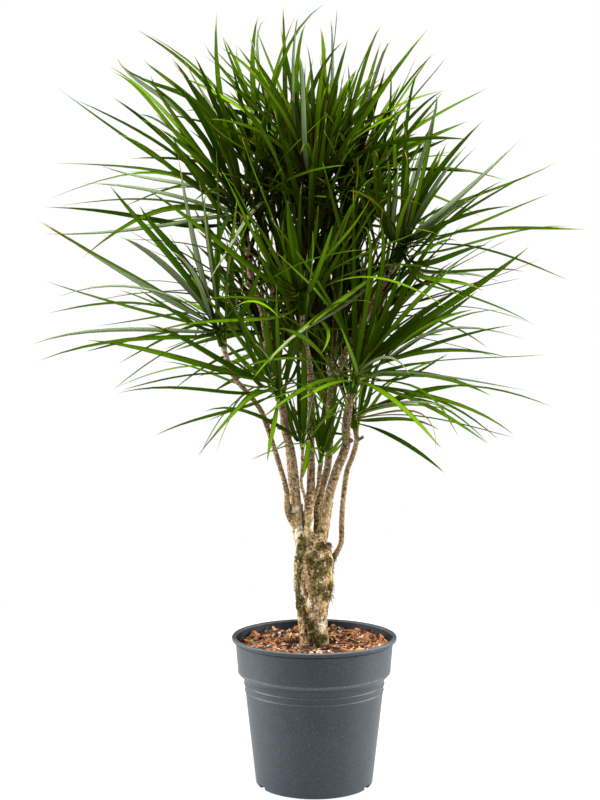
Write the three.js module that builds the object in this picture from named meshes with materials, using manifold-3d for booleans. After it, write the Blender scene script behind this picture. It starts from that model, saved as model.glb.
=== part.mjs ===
// Potted dracaena: a plastic nursery pot, the bark soil in it, the woody trunk with its bare
// branches, and a head of narrow leaves on the end of every branch. Millimetres, +Z up.
// The origin is the centre of the pot's underside, on the surface that the pot stands on.

import * as THREE from 'three';
import { mergeVertices } from 'three/addons/utils/BufferGeometryUtils.js';
import Module from 'manifold-3d';

const wasm = await Module();
wasm.setup();
const { Manifold, Mesh } = wasm;

// ---- driving dimensions ----

const POT_HEIGHT = 215;
const POT_LIP_RADIUS = 120;
const POT_LIP_HEIGHT = 5;
const POT_COLLAR_TOP_RADIUS = 115;
const POT_COLLAR_FOOT_RADIUS = 111;
const POT_COLLAR_FOOT_Z = 165;
const POT_WALL_TOP_RADIUS = 103;
const POT_WALL_TOP_Z = 157;
const POT_BASE_RADIUS = 85;
const POT_WALL = 2;
const POT_FLOOR_TOP = 7;
const POT_RECESS_HEIGHT = 4;
const POT_CENTRE_PAD_RADIUS = 18;
const POT_FOOT_INNER_RADIUS = 66;
const POT_RIB_HEIGHTS = [135, 145];
const POT_RIB_DEPTH = 1;
const POT_NOTCH_ANGLES = [-152, -28, 28, 152];
const POT_NOTCH_WIDTH = 16;
const POT_NOTCH_HEIGHT = 5;
const POT_DRAIN_HOLES = 6;
const POT_DRAIN_HOLE_RADIUS = 4;
const POT_SIDES = 36;

const SOIL_TOP_Z = 202;
const SOIL_GAP = 0.3;
const SOIL_RELIEF = 2.5;
const SOIL_RINGS = 4;
const SOIL_CHIPS = 20;

const TRUNK_FOOT_Z = 150;
const TRUNK_FOOT_RADIUS = 20.5;
const TRUNK_HOLE_GAP = 0.5;
const TRUNK_SIDES = 10;

const HEAD_GAP = 0.3;
const HEAD_CORE_HEIGHT = 46;
const BLADE_WIDTH = 12;
const BLADE_KEEL = 1.7;
const BLADE_LENGTH = 320;
const LEAF_WIDEST_AT = 0.4;
const LEAF_NECK = 0.3;
const LOWEST_TIP = 55;
const SPOT_STEP = 4;
const GOLDEN_ANGLE = THREE.MathUtils.degToRad(137.508);

// ---- small helpers ----

const UP = new THREE.Vector3(0, 0, 1);
const vec = (x, y, z) => new THREE.Vector3(x, y, z);
const mix = THREE.MathUtils.lerp;
const clamp = THREE.MathUtils.clamp;

// A repeatable draw between 0 and 1.
function makeDraw(start) {
  let seed = start;
  return () => {
    seed = (seed * 1664525 + 1013904223) % 4294967296;
    return seed / 4294967296;
  };
}

// A closed geometry as a solid that can be joined and cut.
function solidOf(geometry) {
  geometry.deleteAttribute('normal');
  geometry.deleteAttribute('uv');
  const merged = mergeVertices(geometry, 1e-5);
  const vertProperties = new Float32Array(merged.attributes.position.array);
  const triVerts = new Uint32Array(merged.index.array);
  return new Manifold(new Mesh({ numProp: 3, vertProperties, triVerts }));
}

// The named mesh of a solid. Scraps that a join leaves loose are dropped.
function meshOf(name, solid, material) {
  const bodies = solid.decompose().sort((a, b) => b.volume() - a.volume());
  const { vertProperties, triVerts } = bodies[0].getMesh();
  const geometry = new THREE.BufferGeometry();
  geometry.setAttribute('position', new THREE.BufferAttribute(vertProperties, 3));
  geometry.setIndex(new THREE.BufferAttribute(triVerts, 1));
  geometry.computeVertexNormals();
  const mesh = new THREE.Mesh(geometry, material);
  mesh.name = name;
  return mesh;
}

// A profile of [radius, height] pairs turned about Z.
function turned(profile, sides) {
  const points = profile.map(([r, z]) => new THREE.Vector2(r, z));
  return new THREE.LatheGeometry(points, sides).rotateX(Math.PI / 2);
}

function uprightCylinder(radius, z0, z1, sides) {
  const geometry = new THREE.CylinderGeometry(radius, radius, z1 - z0, sides);
  return geometry.rotateX(Math.PI / 2).translate(0, 0, (z0 + z1) / 2);
}

// ---- pot ----

// The wall leans out evenly from the foot to the step under the collar.
function potWallRadius(z) {
  return mix(POT_BASE_RADIUS, POT_WALL_TOP_RADIUS, z / POT_WALL_TOP_Z);
}

function potSolid() {
  const footEdge = 1.5;
  const ribHalf = 1.2;
  const recessSlope = 3;
  const underside = [
    [0, 0],
    [POT_CENTRE_PAD_RADIUS, 0],
    [POT_CENTRE_PAD_RADIUS + recessSlope, POT_RECESS_HEIGHT],
    [POT_FOOT_INNER_RADIUS - recessSlope, POT_RECESS_HEIGHT],
    [POT_FOOT_INNER_RADIUS, 0],
    [POT_BASE_RADIUS - footEdge, 0],
  ];
  const ribs = POT_RIB_HEIGHTS.flatMap((z) => [
    [potWallRadius(z - ribHalf), z - ribHalf],
    [potWallRadius(z) + POT_RIB_DEPTH, z],
    [potWallRadius(z + ribHalf), z + ribHalf],
  ]);
  const outside = [
    [potWallRadius(footEdge), footEdge],
    ...ribs,
    [POT_WALL_TOP_RADIUS, POT_WALL_TOP_Z],
    [mix(POT_WALL_TOP_RADIUS, POT_COLLAR_FOOT_RADIUS, 0.75), POT_WALL_TOP_Z + 4],
    [POT_COLLAR_FOOT_RADIUS, POT_COLLAR_FOOT_Z],
    [POT_COLLAR_TOP_RADIUS, POT_HEIGHT - POT_LIP_HEIGHT - 1],
    [POT_LIP_RADIUS, POT_HEIGHT - POT_LIP_HEIGHT],
    [POT_LIP_RADIUS, POT_HEIGHT - 1],
    [POT_LIP_RADIUS - 1, POT_HEIGHT],
  ];
  const inside = [
    [POT_COLLAR_TOP_RADIUS - POT_WALL, POT_HEIGHT],
    [POT_COLLAR_FOOT_RADIUS - POT_WALL, POT_COLLAR_FOOT_Z],
    [POT_WALL_TOP_RADIUS - POT_WALL, POT_WALL_TOP_Z],
    [potWallRadius(POT_FLOOR_TOP) - POT_WALL, POT_FLOOR_TOP],
    [0, POT_FLOOR_TOP],
  ];
  let pot = solidOf(turned([...underside, ...outside, ...inside], POT_SIDES));
  for (const degrees of POT_NOTCH_ANGLES) {
    const length = POT_BASE_RADIUS + 10 - POT_FOOT_INNER_RADIUS;
    const notch = new THREE.BoxGeometry(length, POT_NOTCH_WIDTH, POT_NOTCH_HEIGHT * 2);
    notch.translate(POT_FOOT_INNER_RADIUS - recessSlope - 2 + length / 2, 0, 0);
    notch.rotateZ(THREE.MathUtils.degToRad(degrees));
    pot = pot.subtract(solidOf(notch));
  }
  const holeCircle = (POT_CENTRE_PAD_RADIUS + POT_FOOT_INNER_RADIUS) / 2;
  for (let i = 0; i < POT_DRAIN_HOLES; i += 1) {
    const hole = uprightCylinder(POT_DRAIN_HOLE_RADIUS, -1, POT_FLOOR_TOP + 1, 12);
    hole.translate(holeCircle, 0, 0).rotateZ((i / POT_DRAIN_HOLES) * 2 * Math.PI);
    pot = pot.subtract(solidOf(hole));
  }
  return pot;
}

// ---- soil ----

// Low humps of the potting mix, none of them near the wall or in the trunk's hole.
function soilHump(x, y) {
  const waves = Math.sin(x * 0.11 + 1) * Math.cos(y * 0.09) + 0.6 * Math.sin(x * 0.23 - y * 0.19);
  return SOIL_RELIEF * waves;
}

function soilSolid() {
  const bottom = POT_FLOOR_TOP + SOIL_GAP;
  const inset = POT_WALL + SOIL_GAP;
  const slope = (POT_COLLAR_TOP_RADIUS - POT_COLLAR_FOOT_RADIUS) / (POT_HEIGHT - POT_COLLAR_FOOT_Z);
  const topRadius = POT_COLLAR_FOOT_RADIUS - inset + slope * (SOIL_TOP_Z - POT_COLLAR_FOOT_Z);
  const profile = [
    [0, bottom],
    [potWallRadius(bottom) - inset, bottom],
    [POT_WALL_TOP_RADIUS - inset, POT_WALL_TOP_Z],
    [POT_COLLAR_FOOT_RADIUS - inset, POT_COLLAR_FOOT_Z],
    [topRadius, SOIL_TOP_Z],
  ];
  for (let ring = SOIL_RINGS - 1; ring >= 0; ring -= 1) {
    profile.push([(topRadius * ring) / SOIL_RINGS, SOIL_TOP_Z]);
  }
  const body = turned(profile, POT_SIDES);
  const position = body.attributes.position;
  for (let i = 0; i < position.count; i += 1) {
    const x = position.getX(i);
    const y = position.getY(i);
    if (position.getZ(i) > SOIL_TOP_Z - 1 && Math.hypot(x, y) < topRadius - 1) {
      position.setZ(i, SOIL_TOP_Z + soilHump(x, y));
    }
  }
  // Larger bark chips lie tilted and half sunk in the top.
  const draw = makeDraw(11);
  const pieces = [solidOf(body)];
  for (let i = 0; i < SOIL_CHIPS; i += 1) {
    const radius = mix(34, topRadius - 12, Math.sqrt((i + 0.5) / SOIL_CHIPS));
    const angle = i * GOLDEN_ANGLE;
    const chip = new THREE.BoxGeometry(mix(8, 17, draw()), mix(6, 10, draw()), mix(4, 6, draw()));
    chip.rotateX(mix(-0.4, 0.4, draw()));
    chip.rotateY(mix(-0.4, 0.4, draw()));
    chip.rotateZ(draw() * Math.PI);
    const x = radius * Math.cos(angle);
    const y = radius * Math.sin(angle);
    pieces.push(solidOf(chip.translate(x, y, SOIL_TOP_Z + soilHump(x, y))));
  }
  const hole = uprightCylinder(TRUNK_FOOT_RADIUS + TRUNK_HOLE_GAP, TRUNK_FOOT_Z - 1, POT_HEIGHT + 10, 24);
  return Manifold.union(pieces).subtract(solidOf(hole));
}

// ---- trunk and branches ----

// The middle line and the radii of each woody stem, from where it leaves the older wood to the
// scar under its leaves. Each starts inside the stem that it grows from.
const STEMS = {
  farLeft: {
    radii: [6, 3.8, 3.6],
    points: [[-24, -8, 372], [-38, -12, 397], [-41, -15, 432], [-52, -18, 471], [-68, -24, 522],
      [-78, -28, 547], [-98, -33, 573], [-115, -36, 594], [-130, -40, 637]],
  },
  leftFront: {
    radii: [8, 5.6, 5.5],
    points: [[-24, -6, 380], [-25, -12, 413], [-29, -20, 456], [-34, -28, 490], [-42, -37, 516],
      [-44, -46, 540], [-48, -50, 561]],
  },
  upperLeft: {
    radii: [8, 5.6, 5],
    points: [[-22, 2, 375], [-28, 10, 405], [-35, 16, 470], [-44, 20, 543], [-56, 22, 605],
      [-69, 22, 650], [-76, 22, 690], [-91, 24, 723], [-93, 24, 745], [-100, 25, 802]],
  },
  centreLow: {
    radii: [3, 2.4, 2.3],
    points: [[-10, -18, 404], [-15, -20, 424], [-19, -25, 440], [-18, -30, 460], [-17, -35, 490]],
  },
  centreLowRight: {
    radii: [4, 3.5, 3.4],
    points: [[-6, -13, 400], [1, -11, 421], [6, -12, 435], [7, -16, 452], [9, -20, 470]],
  },
  upperCentre: {
    radii: [6.5, 5.3, 5],
    points: [[-7, -14, 405], [-5, -11, 440], [-5, -4, 501], [-5, 0, 587], [-18, 2, 631],
      [-21, 4, 674], [-12, 6, 731], [-4, 8, 785], [-2, 10, 847]],
  },
  backCentre: {
    radii: [8, 5.5, 5],
    points: [[-2, 6, 355], [2, 14, 388], [11, 18, 431], [20, 20, 462], [24, 22, 528],
      [25, 24, 580], [29, 32, 640], [34, 50, 721], [40, 70, 778], [47, 90, 832]],
  },
  upperRight: {
    radii: [6, 5, 5],
    points: [[24, 24, 568], [38, 22, 608], [52, 16, 638], [71, 8, 671], [94, -4, 717],
      [116, -10, 757]],
  },
  right: {
    radii: [9, 7.2, 6],
    points: [[4, 0, 350], [13, -2, 378], [22, -4, 422], [32, -8, 456], [45, -14, 492],
      [45, -20, 518], [48, -26, 545], [53, -30, 571]],
  },
  rightLow: {
    radii: [5, 3.9, 3.8],
    points: [[14, 8, 300], [27, 12, 325], [39, 13, 348], [40, 13, 380], [43, 13, 420],
      [48, 14, 454], [57, 15, 479], [62, 16, 500], [59, 15, 517]],
  },
  backUpperLeft: {
    radii: [5.5, 5, 4.8],
    points: [[-68, 22, 636], [-65, 40, 674], [-57, 70, 734], [-47, 95, 787], [-44, 110, 833]],
  },
  backLeft: {
    radii: [5, 4.5, 4.5],
    points: [[-44, 20, 540], [-53, 50, 578], [-69, 95, 622], [-79, 130, 659]],
  },
  backRight: {
    radii: [5, 4.5, 4.5],
    points: [[25, 22, 572], [46, 55, 597], [73, 95, 632], [86, 120, 659]],
  },
  back: {
    radii: [5, 4.5, 4.5],
    points: [[24, 20, 524], [16, 60, 555], [8, 95, 591], [4, 115, 617]],
  },
  front: {
    radii: [5, 4.5, 4.5],
    points: [[-5, 2, 583], [-8, -28, 612], [-14, -45, 645], [-17, -55, 682]],
  },
};

// The limbs that carry those stems, the swollen trunk and its buried foot.
const TRUNK_RADII = [[208, 21], [240, 21.5], [262, 24.5], [290, 28], [322, 28.5], [345, 24], [366, 15]];
const LIMBS = [
  { radii: [17, 12, 9.5], points: [[-7, -2, 318], [-16, -4, 350], [-25, -7, 388], [-26, -6, 408]] },
  { radii: [12, 8, 6.8], points: [[-2, -6, 326], [-8, -10, 362], [-8, -14, 400], [-6, -14, 424]] },
  { radii: [15, 10, 8], points: [[3, 2, 320], [9, 1, 352], [15, 0, 384], [20, -3, 412]] },
];

// Sawn or broken-off ends of old shoots: start, end, radius.
const STUBS = [
  { from: [10, -6, 330], to: [22, -20, 352], radius: 4.5 },
  { from: [-68, -24, 524], to: [-60, -30, 531], radius: 3 },
  { from: [-43, -38, 518], to: [-52, -43, 522], radius: 3 },
  { from: [45, -15, 496], to: [54, -22, 502], radius: 3.2 },
  { from: [62, 16, 498], to: [71, 10, 504], radius: 2.6 },
  { from: [-90, 24, 722], to: [-101, 18, 727], radius: 3.4 },
];

function stemCurve(points) {
  return new THREE.CatmullRomCurve3(points.map((p) => vec(...p)), false, 'catmullrom', 0.5);
}

// A round stem along a curve: a cylinder whose rings are moved onto the curve.
function stemSolid(curve, radiusAt, sides, rings) {
  const geometry = new THREE.CylinderGeometry(1, 1, 1, sides, rings);
  const position = geometry.attributes.position;
  const frames = curve.computeFrenetFrames(rings, false);
  for (let i = 0; i < position.count; i += 1) {
    const ring = Math.round((position.getY(i) + 0.5) * rings);
    const t = ring / rings;
    const angle = Math.atan2(position.getX(i), position.getZ(i));
    const reach = Math.hypot(position.getX(i), position.getZ(i)) * radiusAt(t, angle);
    const point = curve.getPointAt(t);
    point.addScaledVector(frames.binormals[ring], Math.cos(angle) * reach);
    point.addScaledVector(frames.normals[ring], -Math.sin(angle) * reach);
    position.setXYZ(i, point.x, point.y, point.z);
  }
  return solidOf(geometry);
}

function taperedRadius([start, middle, end], t) {
  if (t < 0.2) {
    return mix(start, middle, t / 0.2);
  }
  return mix(middle, end, (t - 0.2) / 0.8);
}

function branchSolid({ points, radii }) {
  const curve = stemCurve(points);
  const sides = radii[1] > 4 ? 6 : 5;
  const rings = Math.max(4, Math.round(curve.getLength() / 44));
  return stemSolid(curve, (t) => taperedRadius(radii, t), sides, rings);
}

// The old trunk swells and wrinkles between the soil and the fork.
function trunkBodySolid() {
  const foot = TRUNK_RADII[0][0];
  const top = TRUNK_RADII[TRUNK_RADII.length - 1][0];
  const curve = new THREE.LineCurve3(vec(-1, 0, foot - 2), vec(-2, 0, top));
  const radiusAt = (t, angle) => {
    const z = mix(foot, top, t);
    const above = TRUNK_RADII.findIndex(([height]) => height >= z);
    const [z0, r0] = TRUNK_RADII[Math.max(above - 1, 0)];
    const [z1, r1] = TRUNK_RADII[Math.max(above, 1)];
    const lumps = 1 + 0.05 * Math.sin(3 * angle + z * 0.05) + 0.03 * Math.sin(5 * angle - z * 0.09);
    return mix(r0, r1, clamp((z - z0) / (z1 - z0), 0, 1)) * lumps;
  };
  return stemSolid(curve, radiusAt, TRUNK_SIDES, 9);
}

function woodSolid() {
  const pieces = [
    solidOf(uprightCylinder(TRUNK_FOOT_RADIUS, TRUNK_FOOT_Z, TRUNK_RADII[0][0] + 4, 24)),
    trunkBodySolid(),
    ...LIMBS.map(branchSolid),
    ...Object.values(STEMS).map(branchSolid),
  ];
  for (const { from, to, radius } of STUBS) {
    const line = new THREE.LineCurve3(vec(...from), vec(...to));
    pieces.push(stemSolid(line, () => radius, 6, 1));
  }
  return Manifold.union(pieces);
}

// ---- leaves ----

// The heads of leaves, each on its stem's end. fill is the number of leaves that the rule adds
// to the ones placed by hand: [tip x, y, z, lift of the arch]. lowest is the sine of the angle at
// which the oldest leaf rises: crowded upper heads have lost the leaves that would hang.
const HEADS = [
  { stem: 'farLeft', name: 'leaf_head_far_left', fill: 20, lowest: -0.1, tips: [
    [-285, -90, 860, 0], [-260, -150, 785, 20], [-355, -60, 795, 30], [-380, -100, 810, -5],
    [-385, -20, 730, 10], [-340, -150, 705, 50], [-400, -70, 635, 33], [-375, -120, 615, 35],
    [-140, -60, 945, 5]] },
  { stem: 'leftFront', name: 'leaf_head_left_front', fill: 22, lowest: -0.15, tips: [
    [-225, -140, 665, 0], [-320, -60, 645, 15], [-270, -100, 575, 25], [-240, -150, 515, 35],
    [-145, -260, 555, 30], [-160, -120, 485, 45], [-65, -110, 480, 45], [75, -200, 695, 50]] },
  { stem: 'upperLeft', name: 'leaf_head_upper_left', fill: 24, lowest: 0.15, tips: [
    [-140, 60, 1130, 0], [-160, -20, 1065, 0], [-200, 120, 1100, 0], [-260, 60, 1100, 20],
    [-235, -70, 1030, 15], [-305, 150, 1015, 10], [-380, 60, 1020, 15], [-275, -80, 930, 25],
    [-385, 40, 900, 45], [-375, -70, 835, 60], [-355, 120, 840, 30], [-330, -60, 760, 68]] },
  { stem: 'centreLow', name: 'leaf_head_low_centre', fill: 8, lowest: 0.1, tips: [
    [-15, -70, 450, 60], [-45, -50, 540, 10]] },
  { stem: 'centreLowRight', name: 'leaf_head_low_right', fill: 9, lowest: 0.1, tips: [] },
  { stem: 'upperCentre', name: 'leaf_head_upper_centre', fill: 30, lowest: 0.2, tips: [
    [-20, -40, 1105, 0], [155, -60, 1075, 25], [10, 60, 1100, 0]] },
  { stem: 'backCentre', name: 'leaf_head_back_centre', fill: 28, lowest: 0.15, tips: [
    [25, 60, 1115, 0], [75, 120, 1120, 0], [95, 30, 1100, 5], [185, 20, 1005, 15],
    [270, 150, 1035, 25], [185, 180, 1090, 15]] },
  { stem: 'upperRight', name: 'leaf_head_upper_right', fill: 24, lowest: 0.1, tips: [
    [145, -60, 1015, 0], [240, -40, 960, 5], [285, -90, 925, 10], [355, 0, 900, 15],
    [300, 90, 895, 10], [325, -120, 845, 15], [370, -20, 805, 35], [225, -160, 770, 30],
    [355, 60, 745, 50], [290, -60, 740, 40], [305, -60, 665, 60]] },
  { stem: 'right', name: 'leaf_head_right', fill: 22, lowest: -0.05, tips: [
    [195, -120, 755, 0], [300, -50, 775, 0], [245, -170, 750, 5], [270, -120, 665, 15],
    [310, 30, 650, 35], [270, -60, 620, 35], [245, -80, 570, 40], [170, -160, 500, 45],
    [-40, -180, 755, 10]] },
  { stem: 'rightLow', name: 'leaf_head_right_low', fill: 20, lowest: -0.15, tips: [
    [210, 150, 620, 10], [355, 60, 545, 45], [230, -20, 585, 20], [290, 0, 510, 65],
    [245, -40, 500, 56], [185, -60, 500, 50], [285, 110, 490, 60]] },
  { stem: 'backUpperLeft', name: 'leaf_head_back_upper_left', fill: 30, lowest: 0.15, tips: [
    [-85, 160, 1135, 0], [-45, 120, 1130, 0], [15, 80, 1120, 15]] },
  { stem: 'backLeft', name: 'leaf_head_back_left', fill: 26, lowest: 0, tips: [] },
  { stem: 'backRight', name: 'leaf_head_back_right', fill: 23, lowest: 0, tips: [] },
  { stem: 'back', name: 'leaf_head_back', fill: 24, lowest: -0.05, tips: [] },
  { stem: 'front', name: 'leaf_head_front', fill: 23, lowest: 0.1, tips: [] },
];

// Space already taken, as cells that each hold one bit for every owner.
const CELL = 5;
const CROWDED_SHARE = 0.16;
const FIRST_STEM_BIT = 16;
const MOST_DRAWS = 150;
const takenCells = new Map();

function cellKey(i, j, k) {
  return ((i + 512) * 1024 + (j + 512)) * 1024 + (k + 512);
}

function takeSpace(points, bit) {
  for (const { p } of points) {
    const [i, j, k] = [Math.floor(p.x / CELL), Math.floor(p.y / CELL), Math.floor(p.z / CELL)];
    for (let step = 0; step < 27; step += 1) {
      const [a, b, c] = [step % 3, Math.floor(step / 3) % 3, Math.floor(step / 9)];
      const key = cellKey(i + a - 1, j + b - 1, k + c - 1);
      takenCells.set(key, (takenCells.get(key) || 0) | bit);
    }
  }
}

// A leaf may start among its neighbours and beside its own stem, but runs clear of all after that.
function isClear(points, bit) {
  return points.every(({ p, t }) => {
    const key = cellKey(Math.floor(p.x / CELL), Math.floor(p.y / CELL), Math.floor(p.z / CELL));
    const owners = takenCells.get(key) || 0;
    if (t < CROWDED_SHARE) {
      return (owners & ~bit & ~(bit << FIRST_STEM_BIT)) === 0;
    }
    return owners === 0;
  });
}

// Width of a leaf along its length, as a share of its widest: a narrow neck at the root, the
// widest part below the middle and a long fine point.
function widthAt(t) {
  if (t < LEAF_WIDEST_AT) {
    return mix(LEAF_NECK, 1, THREE.MathUtils.smoothstep(t / LEAF_WIDEST_AT, 0, 1));
  }
  return 1 - Math.pow((t - LEAF_WIDEST_AT) / (1 - LEAF_WIDEST_AT), 1.6);
}

// A leaf's curve, its side direction and its size. The head's axis bends it up near the root.
function makeLeaf(head, tip, lift, sway, width, twist) {
  const reach = tip.clone().sub(head.base);
  const rise = clamp(reach.clone().normalize().dot(head.axis), -1, 1);
  const out = reach.clone().addScaledVector(head.axis, -reach.dot(head.axis)).normalize();
  const height = mix(0.15, 0.85, clamp((rise + 0.35) / 1.35, 0, 1)) * head.coreHeight;
  const root = head.base.clone().addScaledVector(head.axis, height + HEAD_GAP);
  root.addScaledVector(out, head.coreRadius * 0.35);
  const side = head.axis.clone().cross(out).normalize();
  const run = tip.clone().sub(root);
  const near = root.clone().addScaledVector(run, 1 / 3).addScaledVector(UP, lift);
  near.addScaledVector(head.axis, run.length() * 0.06);
  const far = root.clone().addScaledVector(run, 2 / 3).addScaledVector(UP, lift);
  far.addScaledVector(side, sway);
  const curve = new THREE.CubicBezierCurve3(root, near, far, tip.clone());
  const bent = Math.abs(lift) > 20;
  const stations = bent ? [0, 0.14, 0.4, 0.7, 1] : [0, 0.2, 0.6, 1];
  return { curve, side, width, twist, stations };
}

// The section of a leaf at t: middle point, side and downward directions, half width, keel depth.
function sectionAt(leaf, t) {
  const tangent = leaf.curve.getTangent(t);
  const side = leaf.side.clone().addScaledVector(tangent, -leaf.side.dot(tangent)).normalize();
  side.applyAxisAngle(tangent, leaf.twist * t);
  const down = side.clone().cross(tangent);
  const half = (leaf.width * widthAt(t)) / 2;
  return { p: leaf.curve.getPoint(t), side, down, half, keel: t >= 1 ? 0 : mix(BLADE_KEEL, 1, t) };
}

// Points over the flat facets of a leaf, no further apart than SPOT_STEP along it.
function leafPoints(leaf) {
  const points = [];
  const sections = leaf.stations.map((t) => ({ t, ...sectionAt(leaf, t) }));
  for (let i = 1; i < sections.length; i += 1) {
    const [a, b] = [sections[i - 1], sections[i]];
    const steps = Math.ceil(a.p.distanceTo(b.p) / SPOT_STEP);
    for (let step = 0; step < steps; step += 1) {
      const s = (step + 1) / steps;
      for (const edge of [-1, 0, 1]) {
        const start = a.p.clone().addScaledVector(a.side, edge * a.half);
        const end = b.p.clone().addScaledVector(b.side, edge * b.half);
        points.push({ p: start.lerp(end, s), t: mix(a.t, b.t, s) });
      }
    }
  }
  return points;
}

// A blade: a three-sided cone whose rings are moved onto the leaf's sections, two corners on
// the edges and one on the keel.
function bladeSolid(leaf) {
  const rows = leaf.stations.length - 1;
  const geometry = new THREE.ConeGeometry(1, 1, 3, rows);
  const position = geometry.attributes.position;
  const sections = leaf.stations.map((t) => sectionAt(leaf, t));
  for (let i = 0; i < position.count; i += 1) {
    const { p, side, down, half, keel } = sections[Math.round((position.getY(i) + 0.5) * rows)];
    const angle = Math.atan2(position.getX(i), position.getZ(i));
    const corner = Math.hypot(position.getX(i), position.getZ(i)) > 1e-6 ? 1 : 0;
    const point = p.clone();
    point.addScaledVector(side, corner * half * (Math.sin(angle) / Math.sin(Math.PI / 3)));
    point.addScaledVector(down, corner * keel * ((Math.cos(angle) + 0.5) / 1.5));
    position.setXYZ(i, point.x, point.y, point.z);
  }
  return solidOf(geometry);
}

// The growing tip inside a head: a slim cone along the stem's end direction.
function coreSolid(head) {
  const core = new THREE.CylinderGeometry(head.coreRadius * 0.45, head.coreRadius, head.coreHeight, 6);
  core.translate(0, head.coreHeight / 2 + HEAD_GAP, 0);
  core.applyQuaternion(new THREE.Quaternion().setFromUnitVectors(vec(0, 1, 0), head.axis));
  return solidOf(core.translate(head.base.x, head.base.y, head.base.z));
}

function makeHead(description, index) {
  const stem = STEMS[description.stem];
  const curve = stemCurve(stem.points);
  const isSmall = stem.radii[2] < 3.5;
  const draw = makeDraw(101 + index * 37);
  return {
    ...description,
    draw,
    bit: 1 << index,
    firstTurn: draw() * 2 * Math.PI,
    base: curve.getPointAt(1),
    axis: curve.getTangentAt(1),
    coreRadius: stem.radii[2] + 2.2,
    coreHeight: isSmall ? 0.6 * HEAD_CORE_HEIGHT : HEAD_CORE_HEIGHT,
    size: isSmall ? 0.45 : 1,
    leaves: [],
  };
}

function keepLeaf(head, leaf) {
  takeSpace(leafPoints(leaf), head.bit);
  head.leaves.push(leaf);
}

// A leaf placed by hand gives way only a little in depth.
function placeByHand(head, [x, y, z, lift]) {
  const { draw } = head;
  for (let attempt = 0; attempt < MOST_DRAWS; attempt += 1) {
    const shift = (draw() - 0.5) * attempt;
    const width = BLADE_WIDTH * mix(0.85, 1.1, draw());
    const sway = mix(-15, 15, draw());
    const leaf = makeLeaf(head, vec(x, y + shift, z), lift, sway, width, mix(-0.5, 0.5, draw()));
    if (isClear(leafPoints(leaf), head.bit)) {
      keepLeaf(head, leaf);
      return;
    }
  }
}

// The other leaves follow the plant's spiral: the oldest lie lowest and droop, the youngest
// stand upright. A leaf that would touch another is drawn again, a little turned.
function placeByRule(head, order) {
  const { draw, base } = head;
  const lean = head.axis.clone().lerp(UP, 0.5).normalize();
  const across = vec(0, 1, 0).cross(lean).normalize();
  const along = lean.clone().cross(across);
  const age = 1 - (order + 0.5) / head.fill;
  for (let attempt = 0; attempt < MOST_DRAWS; attempt += 1) {
    const loosen = 0.15 + attempt * 0.008;
    const turn = head.firstTurn + order * GOLDEN_ANGLE + (draw() - 0.5) * loosen * 2;
    const rise = Math.asin(mix(0.98, head.lowest, age)) + (draw() - 0.5) * loosen;
    const shorten = mix(1, 0.7, attempt / MOST_DRAWS);
    const length = head.size * BLADE_LENGTH * mix(0.72, 1, draw()) * mix(0.86, 1, age) * shorten;
    const out = across.clone().multiplyScalar(Math.cos(turn)).addScaledVector(along, Math.sin(turn));
    const heading = out.multiplyScalar(Math.cos(rise)).addScaledVector(lean, Math.sin(rise));
    const droop = length * mix(0, 0.14, age) * draw();
    const tip = base.clone().addScaledVector(heading, length).addScaledVector(UP, -droop);
    tip.z = Math.max(tip.z, base.z - LOWEST_TIP);
    const lift = length * mix(0.0, 0.16, age) * draw() + droop * 0.3;
    const width = BLADE_WIDTH * mix(0.75, 1.05, draw()) * Math.sqrt(head.size);
    const sway = length * mix(-0.06, 0.06, draw());
    const leaf = makeLeaf(head, tip, lift, sway, width, mix(-0.6, 0.6, draw()));
    if (isClear(leafPoints(leaf), head.bit)) {
      keepLeaf(head, leaf);
      return;
    }
  }
}

function takeWood(heads) {
  for (const head of heads) {
    const { points, radii } = STEMS[head.stem];
    const curve = stemCurve(points);
    const steps = Math.ceil(curve.getLength() / SPOT_STEP);
    const r = radii[1];
    const offsets = [vec(0, 0, 0), vec(r, 0, 0), vec(-r, 0, 0), vec(0, r, 0), vec(0, -r, 0)];
    for (let step = 0; step <= steps; step += 1) {
      const p = curve.getPointAt(step / steps);
      takeSpace(offsets.map((offset) => ({ p: p.clone().add(offset) })), head.bit << FIRST_STEM_BIT);
    }
  }
}

function takeCore(head) {
  for (let height = 0; height <= head.coreHeight; height += SPOT_STEP) {
    takeSpace([{ p: head.base.clone().addScaledVector(head.axis, height) }], head.bit);
  }
}

function growHeads() {
  const heads = HEADS.map(makeHead);
  takeWood(heads);
  heads.forEach(takeCore);
  heads.forEach((head) => head.tips.forEach((tip) => placeByHand(head, tip)));
  const mostLeaves = Math.max(...heads.map((head) => head.fill));
  for (let order = 0; order < mostLeaves; order += 1) {
    for (const head of heads) {
      if (order < head.fill) {
        placeByRule(head, order);
      }
    }
  }
  return heads;
}

// ---- the object ----

const plastic = new THREE.MeshStandardMaterial({ color: 0x4a5560, roughness: 0.55, metalness: 0 });
const bark = new THREE.MeshStandardMaterial({ color: 0x4a3020, roughness: 1, metalness: 0 });
const wood = new THREE.MeshStandardMaterial({ color: 0x9a8468, roughness: 0.9, metalness: 0 });
const foliage = new THREE.MeshStandardMaterial({ color: 0x3a6b14, roughness: 0.45, metalness: 0 });

const dracaena = new THREE.Group();
dracaena.add(meshOf('pot', potSolid(), plastic));
dracaena.add(meshOf('soil', soilSolid(), bark));
dracaena.add(meshOf('trunk', woodSolid(), wood));
for (const head of growHeads()) {
  const blades = Manifold.union([coreSolid(head), ...head.leaves.map(bladeSolid)]);
  dracaena.add(meshOf(head.name, blades, foliage));
}

export default dracaena;
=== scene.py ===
# A dragon tree in a nursery pot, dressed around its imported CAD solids. Metres, +Z up, the pot's
# axis on Z and its underside on the floor. The camera looks from -Y.

import math

import bmesh
import bpy
from mathutils import Matrix, Vector, noise


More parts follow.
